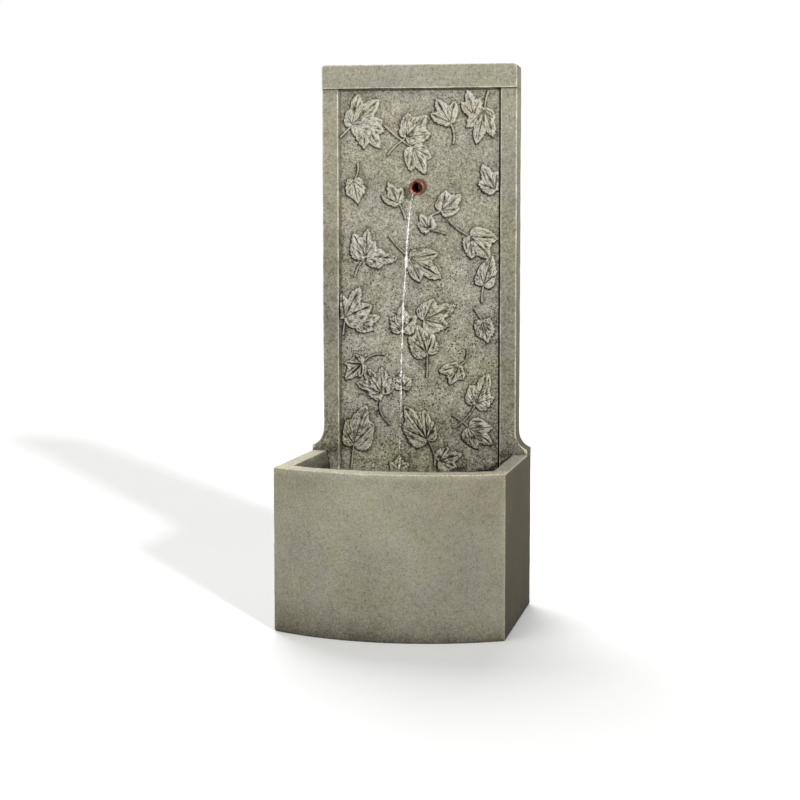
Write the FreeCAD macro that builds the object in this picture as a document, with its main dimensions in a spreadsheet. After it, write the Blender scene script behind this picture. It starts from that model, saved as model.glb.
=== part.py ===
# Garden wall fountain: a cast-stone basin with a bowed front, a tall cast-stone back wall
# with a leaf panel, a copper spout, and the pump and tube that lift the water to it.
# Millimetres. X runs along the wall, Y from the front towards the wall, Z is up.
# The origin is on the ground, under the middle of the fountain's box.

import FreeCAD, Part
import math
import os
import re
import Sketcher

Vector = FreeCAD.Vector
Rotation = FreeCAD.Rotation

doc = FreeCAD.newDocument("wall_fountain")

# Driving dimensions: alias, value, meaning
SIZES = (
    # The whole fountain, as printed beside it
    ("overall_width", 533.4, "21 in, width of the basin"),
    ("overall_depth", 431.8, "17 in, wall side to the middle of the bow"),
    ("overall_height", 1308.1, "51.5 in, ground to the top of the rail"),
    # Basin
    ("rim_height", 376, "ground to the flat rim"),
    ("bow_depth", 64, "how far the front bows out"),
    ("side_wall", 36, "rim width along the sides"),
    ("front_wall", 52, "rim width along the front"),
    ("basin_back", 24, "wall behind the tongue"),
    ("floor_thickness", 112, "solid floor"),
    ("side_draft", 44, "how much further in a side is at the floor"),
    ("front_draft", 84, "the same for the front"),
    ("basin_corner", 4, "round of the upright corners"),
    ("basin_foot_round", 5, "round along the ground"),
    # Back wall
    ("slab_width", 476, "width above the shoulders"),
    ("slab_thickness", 60, "front of a stile to the wall"),
    ("rail_height", 56, "top rail"),
    ("rail_proud", 5, "rail in front of the stiles"),
    ("stile_width", 39, "upright border beside the panel"),
    ("panel_recess", 6, "panel behind the stiles"),
    ("groove_width", 5, "groove round the panel"),
    ("groove_depth", 7, "groove behind the panel's face"),
    ("top_corner", 8, "round of the two top corners"),
    ("arris", 2, "worn round of the rail and stiles"),
    ("shoulder_rise", 12, "upright end of a shoulder"),
    ("shoulder_radius", 45, "hollow curve of a shoulder"),
    ("tongue_gap", 1, "joint between tongue and basin"),
    ("tongue_lift", 2, "tongue above the basin's floor"),
    ("channel_width", 24, "channel for the supply tube"),
    ("channel_depth", 43, "channel and elbow pocket, from the back"),
    ("elbow_pocket_width", 46, "pocket behind the spout"),
    ("elbow_pocket_above", 26, "pocket over the spout's axis"),
    ("elbow_pocket_below", 64, "pocket under the spout's axis"),
    ("window_width", 46, "opening at the tongue's foot"),
    ("window_height", 216, "its height over the basin's floor"),
    ("leaf_relief", 7, "leaf over the panel's face"),
    ("stem_relief", 4, "stem over the panel's face"),
    ("stem_width", 5, "width of a leaf stem"),
    ("leaf_field_below", 56, "leaves go on this far under the rim"),
    # Spout
    ("spout_height", 1018, "ground to the spout's axis"),
    ("spout_pipe", 22, "outside of the pipe"),
    ("spout_wall", 1, "copper wall"),
    ("spout_reach", 32, "mouth in front of the panel"),
    ("spout_mouth", 36, "outside of the flared lip"),
    ("flare_length", 14, "length of the flare"),
    ("spout_droop", 8, "degrees that the mouth points down"),
    ("flange_diameter", 38, "ring on the panel"),
    ("flange_thickness", 4, "ring on the panel"),
    ("washer_diameter", 34, "rubber washer behind the panel"),
    ("washer_thickness", 2, "rubber washer"),
    ("locknut_flats", 32, "brass locknut across its flats"),
    ("locknut_thickness", 6, "brass locknut"),
    ("elbow_socket", 27, "outside of the elbow"),
    ("elbow_inset", 16, "elbow's axis in front of the wall"),
    ("elbow_drop", 20, "axis to the foot of the elbow's body"),
    ("elbow_grip", 12, "length of pipe in the elbow"),
    # Supply tube and clamps
    ("tube_outside", 16, "clear hose"),
    ("tube_inside", 12, "clear hose"),
    ("tube_low_radius", 60, "bends behind the pump"),
    ("tube_high_radius", 150, "bends above the basin"),
    ("barb_length", 22, "hose tail"),
    ("barb_ridge", 13, "ridges of a hose tail"),
    ("barb_bore", 9, "water way of a hose tail"),
    ("tube_straight", 6, "straight hose past the pump's hose tail"),
    ("tube_high_start", 30, "second bend over the rim"),
    ("band_thickness", 0.8, "clamp band"),
    ("band_width", 9, "clamp band"),
    ("worm_box", 9, "housing of the clamp screw"),
    ("worm_screw", 5, "clamp screw"),
    ("worm_head", 8, "head of the clamp screw"),
    ("worm_head_height", 2.5, "head of the clamp screw"),
    # Pump
    ("pump_side", 54, "width and height of the body"),
    ("pump_clearance", 8, "body to the back wall"),
    ("pump_shell", 2.5, "body's wall"),
    ("motor_length", 62, "motor block"),
    ("cap_thickness", 3, "plate on the motor block"),
    ("chamber_outside", 50, "impeller chamber"),
    ("chamber_bore", 40, "impeller chamber"),
    ("chamber_length", 18, "impeller chamber"),
    ("chamber_back", 2, "wall between chamber and motor block"),
    ("well_bore", 20, "well of the rotor"),
    ("well_wall", 1.6, "well of the rotor"),
    ("well_depth", 31, "well of the rotor"),
    ("well_end", 4.4, "end wall of the well"),
    ("magnet_inset", 1.5, "magnet behind the well's mouth"),
    ("magnet_diameter", 18, "rotor magnet"),
    ("shaft_diameter", 3, "ceramic shaft"),
    ("running_fit", 0.05, "radial clearance of a turning fit"),
    ("bush_diameter", 8, "rubber bush"),
    ("bush_length", 3.5, "rubber bush"),
    ("bush_proud", 1, "rear bush out of its seat"),
    ("thrust_gap", 0.3, "end play of the rotor at each bush"),
    ("impeller_diameter", 34, "impeller"),
    ("impeller_hub", 12, "impeller"),
    ("impeller_disc", 1.5, "impeller"),
    ("vane_length", 8.5, "impeller, along the shaft"),
    ("vane_thickness", 1.6, "impeller"),
    ("cover_thickness", 3, "plate on the chamber"),
    ("cover_inlet", 26, "water inlet of the plate"),
    ("cover_spigot", 2, "spigot of the plate in the chamber"),
    ("seal_section", 2, "ring between plate and chamber"),
    ("strainer_length", 42, "cage over the chamber"),
    ("strainer_wall", 1.8, "cage over the chamber"),
    ("strainer_slot", 2.4, "slots of the cage"),
    ("strainer_slot_pitch", 5.2, "slots of the cage"),
    ("dial_diameter", 18, "flow dial"),
    ("dial_thickness", 5, "flow dial"),
    ("dial_spindle", 8, "flow dial"),
    ("shutter_diameter", 32, "disc behind the dial"),
    ("shutter_thickness", 1.2, "disc behind the dial"),
    ("core_stack", 18, "stator plates"),
    ("core_limb", 13, "stator limbs and yoke"),
    ("core_end_gap", 9, "yoke to the end of the motor block"),
    ("coil_build", 6, "winding on the yoke"),
    ("outlet_boss", 20, "outlet of the chamber"),
    ("outlet_rise", 34, "pump axis to the top of the boss"),
    ("outlet_socket", 15, "nozzle's spigot"),
    ("outlet_bore", 12, "water way out of the chamber"),
    ("spigot_length", 8, "nozzle's spigot"),
    ("nozzle_collar", 2.5, "collar of the nozzle"),
    ("cup_diameter", 16, "suction cup"),
    ("cup_height", 8, "suction cup"),
    ("cup_stem", 5, "suction cup"),
    ("cup_socket", 1.5, "blind hole that holds a cup's stem"),
    ("cup_inset", 3, "cup's edge inside the motor block"),
    ("gland_diameter", 12, "cord gland"),
    ("gland_length", 7, "cord gland"),
    ("gland_bore", 6.6, "cord gland"),
    ("gland_neck", 9, "cord gland, in the cap"),
    ("gland_lift", 12, "cord gland over the pump's axis"),
    ("cap_spigot", 2, "spigot of the cap in the motor block"),
    ("assembly_gap", 0.2, "clearance of parts that push together"),
    # Stoppers
    ("cord_hole", 22, "hole in the basin's back"),
    ("cord_hole_rise", 34, "its axis over the basin's floor"),
    ("cord_bore", 7, "bore of the cord stopper"),
    ("stopper_lip", 4, "lip of both stoppers"),
    ("stopper_lip_width", 4, "lip beyond the hole"),
    ("drain_hole", 24, "hole in the basin's floor"),
    ("drain_aside", 150, "drain, left of the middle"),
    ("drain_forward", 20, "drain, in front of the middle"),
    ("drain_plug_length", 30, "part of the stopper in the hole"),
    ("drain_knob", 16, "knob of the drain stopper"),
)

sheet = doc.addObject("Spreadsheet::Sheet", "Sizes")
for row, (alias, size, meaning) in enumerate(SIZES, start=1):
    sheet.set("A%d" % row, meaning)
    sheet.set("B%d" % row, str(size))
    sheet.setAlias("B%d" % row, alias)
doc.recompute()
ALIASES = {alias for alias, size, meaning in SIZES}

# Places that many pieces share, as expressions of the driving dimensions
BACK = "(overall_depth / 2)"
FRONT = "(-overall_depth / 2)"
HALF = "(overall_width / 2)"
BOW_RADIUS = "((overall_width ^ 2 / 4 + bow_depth ^ 2) / (2 * bow_depth))"
SLAB_FRONT = "(overall_depth / 2 - slab_thickness)"
PANEL_FACE = "(overall_depth / 2 - slab_thickness + panel_recess)"
PANEL_HALF = "(slab_width / 2 - stile_width)"
PANEL_TOP = "(overall_height - rail_height)"
TONGUE_BACK = "(overall_depth / 2 - basin_back - tongue_gap)"
TONGUE_FOOT = "(floor_thickness + tongue_lift)"
CHANNEL_FACE = "(overall_depth / 2 - channel_depth)"
ELBOW_Y = "(overall_depth / 2 - elbow_inset)"
TUBE_LOW_Y = "(overall_depth / 2 - basin_back - tongue_gap - tube_outside / 2 - 1)"
PUMP_Y = "(overall_depth / 2 - slab_thickness - pump_clearance - pump_side / 2)"
PUMP_Z = "(floor_thickness + cup_height + pump_side / 2)"
CHAMBER_FRONT = "(-chamber_length / 2)"
CHAMBER_END = "(chamber_length / 2)"
WELL_MOUTH = "(chamber_length / 2 - chamber_back)"
WELL_BOTTOM = "(chamber_length / 2 - chamber_back + well_depth)"
MOTOR_END = "(chamber_length / 2 + motor_length)"
CAVITY_HALF = "(pump_side / 2 - pump_shell)"
COVER_FRONT = "(-chamber_length / 2 - cover_thickness)"
COVER_INSIDE = "(-chamber_length / 2 + cover_spigot)"
STRAINER_FRONT = "(chamber_length / 2 - strainer_length)"
NOZZLE_FOOT = "(floor_thickness + cup_height + pump_side / 2 + outlet_rise)"
TUBE_START = "(floor_thickness + cup_height + pump_side / 2 + outlet_rise + nozzle_collar)"
TUBE_END = "(spout_height - elbow_drop)"
NUT_Y = "(overall_depth / 2 - channel_depth + washer_thickness)"
ELBOW_MOUTH = "(overall_depth / 2 - channel_depth + washer_thickness + locknut_thickness + assembly_gap)"
PIPE_END = "(overall_depth / 2 - channel_depth + washer_thickness + locknut_thickness + elbow_grip)"

subparts = []


# Binding and naming


def bound(text):
    """The expression with every alias read from the sheet."""
    return re.sub(r"[a-z]\w*", lambda m: "Sizes." + m.group() if m.group() in ALIASES else m.group(), text)


def number(text):
    """The value of an expression, for shapes that code makes."""
    return float(sheet.evalExpression(bound(text)))


def tie(thing, **properties):
    """Binds properties of an object to expressions."""
    for name, text in properties.items():
        thing.setExpression(name, bound(text))
    return thing


def place(thing, x="0", y="0", z="0"):
    """Binds the place of an object to expressions."""
    for axis, text in zip("xyz", (x, y, z)):
        thing.setExpression("Placement.Base." + axis, bound(text))
    return thing


def subpart(thing, label):
    """Names a finished piece, and puts it on the list of files."""
    thing.Label = label
    subparts.append(thing)
    return thing


# Primitives and booleans


def box(name, size, corner):
    """A box from its lowest corner."""
    made = doc.addObject("Part::Box", name)
    tie(made, Length=size[0], Width=size[1], Height=size[2])
    return place(made, *corner)


AXIS_TURNS = {
    "X": Rotation(Vector(0, 1, 0), 90),
    "Y": Rotation(Vector(1, 0, 0), -90),
    "Z": Rotation(),
}


def rod(name, axis, diameter, length, start):
    """A cylinder that runs from start along +axis."""
    made = doc.addObject("Part::Cylinder", name)
    tie(made, Radius="(%s) / 2" % diameter, Height=length)
    made.Placement.Rotation = AXIS_TURNS[axis]
    return place(made, *start)


def cone(name, axis, diameters, length, start):
    """A cone that runs from start along +axis."""
    made = doc.addObject("Part::Cone", name)
    tie(made, Radius1="(%s) / 2" % diameters[0], Radius2="(%s) / 2" % diameters[1], Height=length)
    made.Placement.Rotation = AXIS_TURNS[axis]
    return place(made, *start)


def join(name, *pieces):
    """The pieces as one solid."""
    made = doc.addObject("Part::MultiFuse", name)
    made.Shapes = list(pieces)
    made.Refine = True
    return made


def cut(name, base, *tools):
    """The base without the tools."""
    made = doc.addObject("Part::Cut", name)
    made.Base = base
    made.Tool = tools[0] if len(tools) == 1 else join(name + "_tools", *tools)
    made.Refine = True
    return made


def shaped(name, shape):
    """A piece whose shape is made by code from the sheet's sizes."""
    made = doc.addObject("Part::Feature", name)
    made.Shape = shape
    return made


# Sketches


def sketch(body, name, role, offset="0"):
    """An empty sketch on an origin plane of its own body, moved along the plane's normal."""
    plane = [p for p in body.Origin.OriginFeatures if p.Role == role][0]
    made = body.newObject("Sketcher::SketchObject", name)
    made.AttachmentSupport = [(plane, "")]
    made.MapMode = "FlatFace"
    made.setExpression("AttachmentOffset.Base.z", bound(offset))
    return made


def pin(drawing, geometry, end, x, y):
    """Fixes one end of a line or arc at two expressions."""
    for kind, axis, text in (("DistanceX", -2, x), ("DistanceY", -1, y)):
        if text == "0":
            drawing.addConstraint(Sketcher.Constraint("PointOnObject", geometry, end, axis))
        else:
            rule = Sketcher.Constraint(kind, -1, 1, geometry, end, number(text))
            index = drawing.addConstraint(rule)
            drawing.setExpression("Constraints[%d]" % index, bound(text))


def outline(drawing, corners, arcs=None):
    """A closed outline through corners. arcs gives, by corner number, the radius and the centre of
    the arc that leaves that corner, and whether it turns left."""
    arcs = arcs or {}
    numbers = [Vector(number(x), number(y), 0) for x, y in corners]
    leaves, arrives = [], []
    for i, here in enumerate(numbers):
        there = numbers[(i + 1) % len(numbers)]
        if i not in arcs:
            g = drawing.addGeometry(Part.LineSegment(here, there), False)
            leaves.append((g, 1))
            arrives.append((g, 2))
            continue
        radius, centre_x, centre_y, left = arcs[i]
        centre = Vector(number(centre_x), number(centre_y), 0)
        first, last = (here, there) if left else (there, here)
        turn = [math.atan2(p.y - centre.y, p.x - centre.x) for p in (first, last)]
        circle = Part.Circle(centre, Vector(0, 0, 1), number(radius))
        g = drawing.addGeometry(Part.ArcOfCircle(circle, turn[0], turn[1]), False)
        leaves.append((g, 1 if left else 2))
        arrives.append((g, 2 if left else 1))
    for i, (x, y) in enumerate(corners):
        g, end = leaves[i]
        before, before_end = arrives[i - 1]
        drawing.addConstraint(Sketcher.Constraint("Coincident", before, before_end, g, end))
        pin(drawing, g, end, x, y)
    for i, (radius, centre_x, centre_y, left) in arcs.items():
        index = drawing.addConstraint(Sketcher.Constraint("Radius", leaves[i][0], number(radius)))
        drawing.setExpression("Constraints[%d]" % index, bound(radius))
    return drawing


def circle(drawing, diameter, x, y):
    """A circle at two expressions."""
    centre = Vector(number(x), number(y), 0)
    radius = number("(%s) / 2" % diameter)
    g = drawing.addGeometry(Part.Circle(centre, Vector(0, 0, 1), radius), False)
    pin(drawing, g, 3, x, y)
    index = drawing.addConstraint(Sketcher.Constraint("Diameter", g, number(diameter)))
    drawing.setExpression("Constraints[%d]" % index, bound(diameter))
    return drawing


def rectangle(left, low, right, high):
    """The four corners of a rectangle."""
    return [(left, low), (right, low), (right, high), (left, high)]


def pad(body, name, profile, length):
    """A pad along the sketch's normal."""
    made = body.newObject("PartDesign::Pad", name)
    made.Profile = profile
    return tie(made, Length=length)


def pocket(body, name, profile, depth=None, along_normal=False):
    """A pocket against the sketch's normal, or along it; through everything with no depth."""
    made = body.newObject("PartDesign::Pocket", name)
    made.Profile = profile
    made.Reversed = along_normal
    if depth is None:
        made.Type = "ThroughAll"
        made.Midplane = True
    else:
        tie(made, Length=depth)
    return made


def fillet(body, name, radius, wanted):
    """A fillet on the edges of the body's shape that pass the test."""
    doc.recompute()
    base = body.Tip
    edges = ["Edge%d" % i for i, e in enumerate(base.Shape.Edges, start=1) if wanted(e)]
    made = body.newObject("PartDesign::Fillet", name)
    made.Base = (base, edges)
    return tie(made, Radius=radius)


def lies(edge, **values):
    """Whether every point of an edge has these coordinates."""
    near = 0.01
    bounds = edge.BoundBox
    return all(
        abs(getattr(bounds, axis + "Min") - v) < near and abs(getattr(bounds, axis + "Max") - v) < near
        for axis, v in values.items()
    )


# Basin


def basin_profile(body, name, height, side, front):
    """The basin's plan: square at the wall, bowed at the front. side and front are how far it is
    inside the outer faces."""
    half = "(overall_width / 2 - (%s))" % side
    back = BACK if side == "0" else "(overall_depth / 2 - basin_back)"
    drop = "(%s - sqrt(%s ^ 2 - %s ^ 2))" % (BOW_RADIUS, BOW_RADIUS, half)
    corner = "(%s + (%s) + %s)" % (FRONT, front, drop)
    centre = "(%s + (%s) + %s)" % (FRONT, front, BOW_RADIUS)
    corners = [("-" + half, corner), (half, corner), (half, back), ("-" + half, back)]
    drawing = sketch(body, name, "XY_Plane", height)
    return outline(drawing, corners, {0: (BOW_RADIUS, "0", centre, True)})


def make_basin():
    body = doc.addObject("PartDesign::Body", "basin_body")
    pad(body, "basin_block", basin_profile(body, "basin_plan", "0", "0", "0"), "rim_height")
    top = basin_profile(body, "pool_rim", "rim_height", "side_wall", "front_wall")
    low = basin_profile(
        body, "pool_floor", "floor_thickness", "side_wall + side_draft", "front_wall + front_draft"
    )
    pool = body.newObject("PartDesign::SubtractiveLoft", "pool")
    pool.Profile = top
    pool.Sections = [low]
    pool.Ruled = True
    hole = circle(sketch(body, "cord_hole_plan", "XZ_Plane", "-" + BACK), "cord_hole", "0",
                  "floor_thickness + cord_hole_rise")
    pocket(body, "cord_hole_bore", hole, "basin_back + 1", along_normal=True)
    drain = circle(sketch(body, "drain_plan", "XY_Plane"), "drain_hole", "-drain_aside", "-drain_forward")
    pocket(body, "drain_bore", drain, "floor_thickness + 1", along_normal=True)
    half = number(HALF)
    height = number("rim_height")
    fillet(body, "upright_corners", "basin_corner",
           lambda e: abs(e.Length - height) < 0.01 and abs(abs(e.BoundBox.XMin) - half) < 0.01)
    drain_x = number("-drain_aside")
    fillet(body, "ground_edge", "basin_foot_round",
           lambda e: lies(e, Z=0) and abs(e.BoundBox.Center.x - drain_x) > 1)
    return subpart(body, "basin")


# Leaves of the panel. Each has its foot (x, height), its lobes (length, heading) from one side to
# the other, clockwise, and the end of its stem. A heading is in degrees, anticlockwise from +X.
LEAVES = (
    ((-161, 1162), ((60, 112), (76, 79), (91, 45), (77, 8)), (-197, 1135)),
    ((-135, 1169), ((51, -13), (71, -58), (59, -90)), None),
    ((-26, 1127), ((50, 128), (64, 90), (75, 51), (61, 19)), (-78, 1094)),
    ((-15, 1114), ((54, -29), (70, -66), (57, -96)), (-66, 1152)),
    ((79, 1170), ((56, 163), (70, 125), (48, 82)), (84, 1122)),
    ((130, 1188), ((42, 138), (58, 104), (40, 67)), None),
    ((158, 1196), ((34, -27), (67, -70), (76, -104), (52, -140)), (169, 1243)),
    ((-161, 1032), ((36, -38), (56, -78), (29, -131)), (-151, 1075)),
    ((-50, 979), ((45, 159), (55, 118), (40, 78)), (-33, 940)),
    ((56, 961), ((51, 78), (63, 39), (44, 5)), (28, 949)),
    ((26, 917), ((32, 160), (44, 123), (34, 84)), (68, 906)),
    ((186, 1011), ((44, 160), (69, 118), (44, 84)), None),
    ((126, 899), ((69, -3), (73, -46), (52, -87)), (72, 940)),
    ((159, 785), ((40, 108), (74, 74), (40, 40)), (155, 742)),
    ((-131, 850), ((65, 119), (67, 86), (46, 58)), (-159, 801)),
    ((-121, 850), ((36, 30), (69, -3), (36, -52)), (-169, 857)),
    ((-21, 846), ((71, 10), (90, -31), (62, -66)), (-74, 901)),
    ((-184, 701), ((60, 97), (85, 63), (77, 25)), (-189, 659)),
    ((-152, 691), ((34, 46), (59, 16), (43, -28)), None),
    ((-41, 673), ((42, 137), (63, 90), (51, 46)), None),
    ((14, 698), ((59, 66), (86, 26), (62, -12)), None),
    ((157, 696), ((36, -36), (53, -75), (36, -116)), (136, 728)),
    ((21, 619), ((59, 144), (72, 111), (49, 71)), (20, 559)),
    ((-142, 589), ((32, 265), (56, 223), (43, 177), (32, 129)), (-84, 614)),
    ((-91, 517), ((34, 188), (71, 158), (79, 126), (67, 93)), (-71, 442)),
    ((-41, 534), ((32, 136), (42, 90), (34, 43)), None),
    ((99, 588), ((36, 288), (51, 244), (51, 197)), (119, 629)),
    ((141, 498), ((47, 111), (81, 68), (47, 18)), (86, 437)),
    ((126, 438), ((57, 3), (69, -34), (54, -70)), (82, 469)),
    ((-163, 393), ((45, 123), (103, 71), (73, 44)), (-169, 334)),
    ((20, 409), ((67, 156), (99, 126), (70, 94), (43, 60)), (40, 344)),
    ((51, 357), ((41, 60), (60, 18), (46, -18)), None),
    ((-49, 331), ((31, 143), (38, 90), (32, 39)), None),
)
LEAF_WAIST = 0.52  # how near the foot the notch between two lobes comes, in lobe lengths
LOBE_SPREAD = 13  # degrees that the widest part of a lobe lies either side of its heading
LOBE_BELLY = 0.64  # where the lobe is widest, in lobe lengths
LEAF_HEEL = 0.3  # how far the outer lobes swell beside the foot, in lobe lengths
HEEL_TURN = 48  # degrees from the outer lobe's heading to that swelling


def polar(foot, length, heading):
    """The point at a length and a heading in degrees from a foot, on the panel's plane."""
    angle = math.radians(heading)
    return Vector(foot[0] + length * math.cos(angle), 0, foot[1] + length * math.sin(angle))


def leaf_points(foot, lobes):
    """The outline of a lobed leaf."""
    first_length, first_turn = lobes[0]
    last_length, last_turn = lobes[-1]
    points = [Vector(foot[0], 0, foot[1])]
    points.append(polar(foot, first_length * LEAF_HEEL, first_turn + HEEL_TURN))
    for i, (length, heading) in enumerate(lobes):
        if i > 0:
            before, turn = lobes[i - 1]
            points.append(polar(foot, LEAF_WAIST * (length + before) / 2, (heading + turn) / 2))
        points.append(polar(foot, length * LOBE_BELLY, heading + LOBE_SPREAD))
        points.append(polar(foot, length, heading))
        points.append(polar(foot, length * LOBE_BELLY, heading - LOBE_SPREAD))
    points.append(polar(foot, last_length * LEAF_HEEL, last_turn - HEEL_TURN))
    return points


def raised(points, relief):
    """A pad of this outline that stands out of the panel's face."""
    face_y = number(PANEL_FACE)
    root = 1
    lifted = [Vector(p.x, face_y + root, p.z) for p in points]
    outline_wire = Part.makePolygon(lifted + lifted[:1])
    return Part.Face(outline_wire).extrude(Vector(0, -relief - root, 0))


def stem_points(foot, end):
    """A thin strip from a leaf's foot to the end of its stem."""
    start, stop = Vector(foot[0], 0, foot[1]), Vector(end[0], 0, end[1])
    along = (stop - start).normalize()
    half = number("stem_width") / 2
    across = Vector(-along.z, 0, along.x) * half
    start = start + along * half
    return [start + across, stop + across, stop - across, start - across]


def make_leaves():
    """Every leaf and stem of the panel, cut off where the stiles, the rail and the pool begin."""
    pads = []
    for foot, lobes, stem in LEAVES:
        pads.append(raised(leaf_points(foot, lobes), number("leaf_relief")))
        if stem:
            pads.append(raised(stem_points(foot, stem), number("stem_relief")))
    field_half = number("%s - groove_width" % PANEL_HALF)
    field_low = number("rim_height - leaf_field_below")
    field_high = number("%s - groove_width" % PANEL_TOP)
    field = Part.makeBox(
        2 * field_half, number("slab_thickness"), field_high - field_low,
        Vector(-field_half, number(SLAB_FRONT) - number("slab_thickness") / 2, field_low),
    )
    return shaped("leaf_relief_pads", pads[0].multiFuse(pads[1:]).common(field))


# Back wall


def mirrored(points):
    """The points, then their mirror images about the Z axis in reverse, as one closed outline."""
    return points + [("-(%s)" % x, y) for x, y in reversed(points)]


def rounded_top(half):
    """The right-hand corners of an outline that ends in the rail's rounded corner."""
    return [(half, "overall_height - top_corner"), (half + " - top_corner", "overall_height")]


def make_back_wall():
    half = "slab_width / 2"
    arc_top = (
        "(rim_height + shoulder_rise"
        " + sqrt(shoulder_radius ^ 2 - (shoulder_radius - (overall_width - slab_width) / 2) ^ 2))"
    )
    corner_x = "(slab_width / 2 - top_corner)"
    corner_z = "(overall_height - top_corner)"
    hollow_x = "(slab_width / 2 + shoulder_radius)"
    body = doc.addObject("PartDesign::Body", "back_wall_body")

    right = [
        (HALF, "rim_height"),
        (HALF, "rim_height + shoulder_rise"),
        (half, arc_top),
    ] + rounded_top(half)
    arcs = {
        1: ("shoulder_radius", hollow_x, arc_top, False),
        3: ("top_corner", corner_x, corner_z, True),
        5: ("top_corner", "-" + corner_x, corner_z, True),
        7: ("shoulder_radius", "-" + hollow_x, arc_top, False),
    }
    slab = outline(sketch(body, "slab_view", "XZ_Plane", "-" + BACK), mirrored(right), arcs)
    pad(body, "slab", slab, "slab_thickness")

    # The tongue narrows with the basin's sides, and stands in front of the basin's own back
    foot_half = (
        "(overall_width / 2 - side_wall - tongue_gap"
        " - side_draft * (rim_height - floor_thickness - tongue_lift) / (rim_height - floor_thickness))"
    )
    rim_half = "(overall_width / 2 - side_wall - tongue_gap)"
    root = "rim_height + shoulder_rise / 2"
    tongue = outline(
        sketch(body, "tongue_view", "XZ_Plane", "-" + TONGUE_BACK),
        mirrored([(foot_half, TONGUE_FOOT), (rim_half, "rim_height"), (rim_half, root)]),
    )
    pad(body, "tongue", tongue, "slab_thickness - basin_back - tongue_gap")

    rail = outline(
        sketch(body, "rail_view", "XZ_Plane", "-" + SLAB_FRONT),
        mirrored([(half, PANEL_TOP)] + rounded_top(half)),
        {1: arcs[3], 3: arcs[5]},
    )
    pad(body, "rail", rail, "rail_proud")

    below = TONGUE_FOOT + " - 1"
    field = outline(
        sketch(body, "panel_view", "XZ_Plane", "-" + SLAB_FRONT),
        rectangle("-" + PANEL_HALF, below, PANEL_HALF, PANEL_TOP),
    )
    pocket(body, "panel", field, "panel_recess")
    inner = PANEL_HALF + " - groove_width"
    groove = outline(
        sketch(body, "groove_view", "XZ_Plane", "-" + PANEL_FACE),
        mirrored([(inner, below), (PANEL_HALF, below), (PANEL_HALF, PANEL_TOP)])
        + [("-(%s)" % inner, PANEL_TOP + " - groove_width"), (inner, PANEL_TOP + " - groove_width")],
    )
    pocket(body, "groove", groove, "groove_depth")

    channel = outline(
        sketch(body, "channel_view", "XZ_Plane", "-" + BACK),
        mirrored([
            ("channel_width / 2", below),
            ("channel_width / 2", "spout_height - elbow_pocket_below"),
            ("elbow_pocket_width / 2", "spout_height - elbow_pocket_below"),
            ("elbow_pocket_width / 2", "spout_height + elbow_pocket_above"),
        ]),
    )
    pocket(body, "channel", channel, "channel_depth", along_normal=True)
    window = outline(
        sketch(body, "window_view", "XZ_Plane", "-" + BACK),
        mirrored([("window_width / 2", below), ("window_width / 2", "floor_thickness + window_height")]),
    )
    pocket(body, "window", window)
    bore = circle(sketch(body, "spout_bore_view", "XZ_Plane", "-" + BACK),
                  "spout_pipe + 2 * assembly_gap", "0", "spout_height")
    pocket(body, "spout_bore", bore)

    rail_y = number(SLAB_FRONT + " - rail_proud")
    stile_y = number(SLAB_FRONT)
    stile_x = [number(half), number(PANEL_HALF)]
    shortest = number("slab_width") / 2
    fillet(
        body, "worn_arrises", "arris",
        lambda e: lies(e, Y=rail_y)
        or lies(e, Y=stile_y) and e.Length > shortest
        and any(abs(abs(e.BoundBox.Center.x) - x) < 0.01 for x in stile_x),
    )
    return subpart(join("back_wall_with_leaves", body, make_leaves()), "back_wall")


# Spout

FLARE_SWELL = (0.3, 0.35)  # how much of the flare's growth is reached how far behind its lip


def ring(name, axis, outside, inside, length, start):
    """A plain ring."""
    over = {"X": ("1", "0", "0"), "Y": ("0", "1", "0"), "Z": ("0", "0", "1")}[axis]
    before = tuple("%s - %s" % pair for pair in zip(start, over))
    hole = rod(name + "_hole", axis, inside, "(%s) + 2" % length, before)
    return cut(name, rod(name + "_disc", axis, outside, length, start), hole)


def spout_form(radius, mouth_radius):
    """The spout's outer or inner form: a pipe through the wall, then a drooping pipe with a flare."""
    bend = Vector(0, number(PANEL_FACE + " - flange_thickness"), number("spout_height"))
    droop = math.radians(number("spout_droop"))
    forward = Vector(0, -math.cos(droop), -math.sin(droop))
    length = number("spout_reach - flange_thickness")
    flare = number("flare_length")
    swell = radius + (mouth_radius - radius) * FLARE_SWELL[0]
    neck = Vector(radius, 0, length - flare)
    belly = Vector(swell, 0, length - flare * FLARE_SWELL[1])
    lip = Vector(mouth_radius, 0, length)
    edges = [
        Part.LineSegment(Vector(), Vector(radius, 0, 0)).toShape(),
        Part.LineSegment(Vector(radius, 0, 0), neck).toShape(),
        Part.Arc(neck, belly, lip).toShape(),
        Part.LineSegment(lip, Vector(0, 0, length)).toShape(),
        Part.LineSegment(Vector(0, 0, length), Vector()).toShape(),
    ]
    nose = Part.Face(Part.Wire(edges)).revolve(Vector(), Vector(0, 0, 1), 360)
    nose.Placement = FreeCAD.Placement(bend, Rotation(Vector(0, 0, 1), forward))
    tail = Part.makeCylinder(radius, number(PIPE_END) - bend.y, bend, Vector(0, 1, 0))
    return nose.fuse([tail, Part.makeSphere(radius, bend)])


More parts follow.
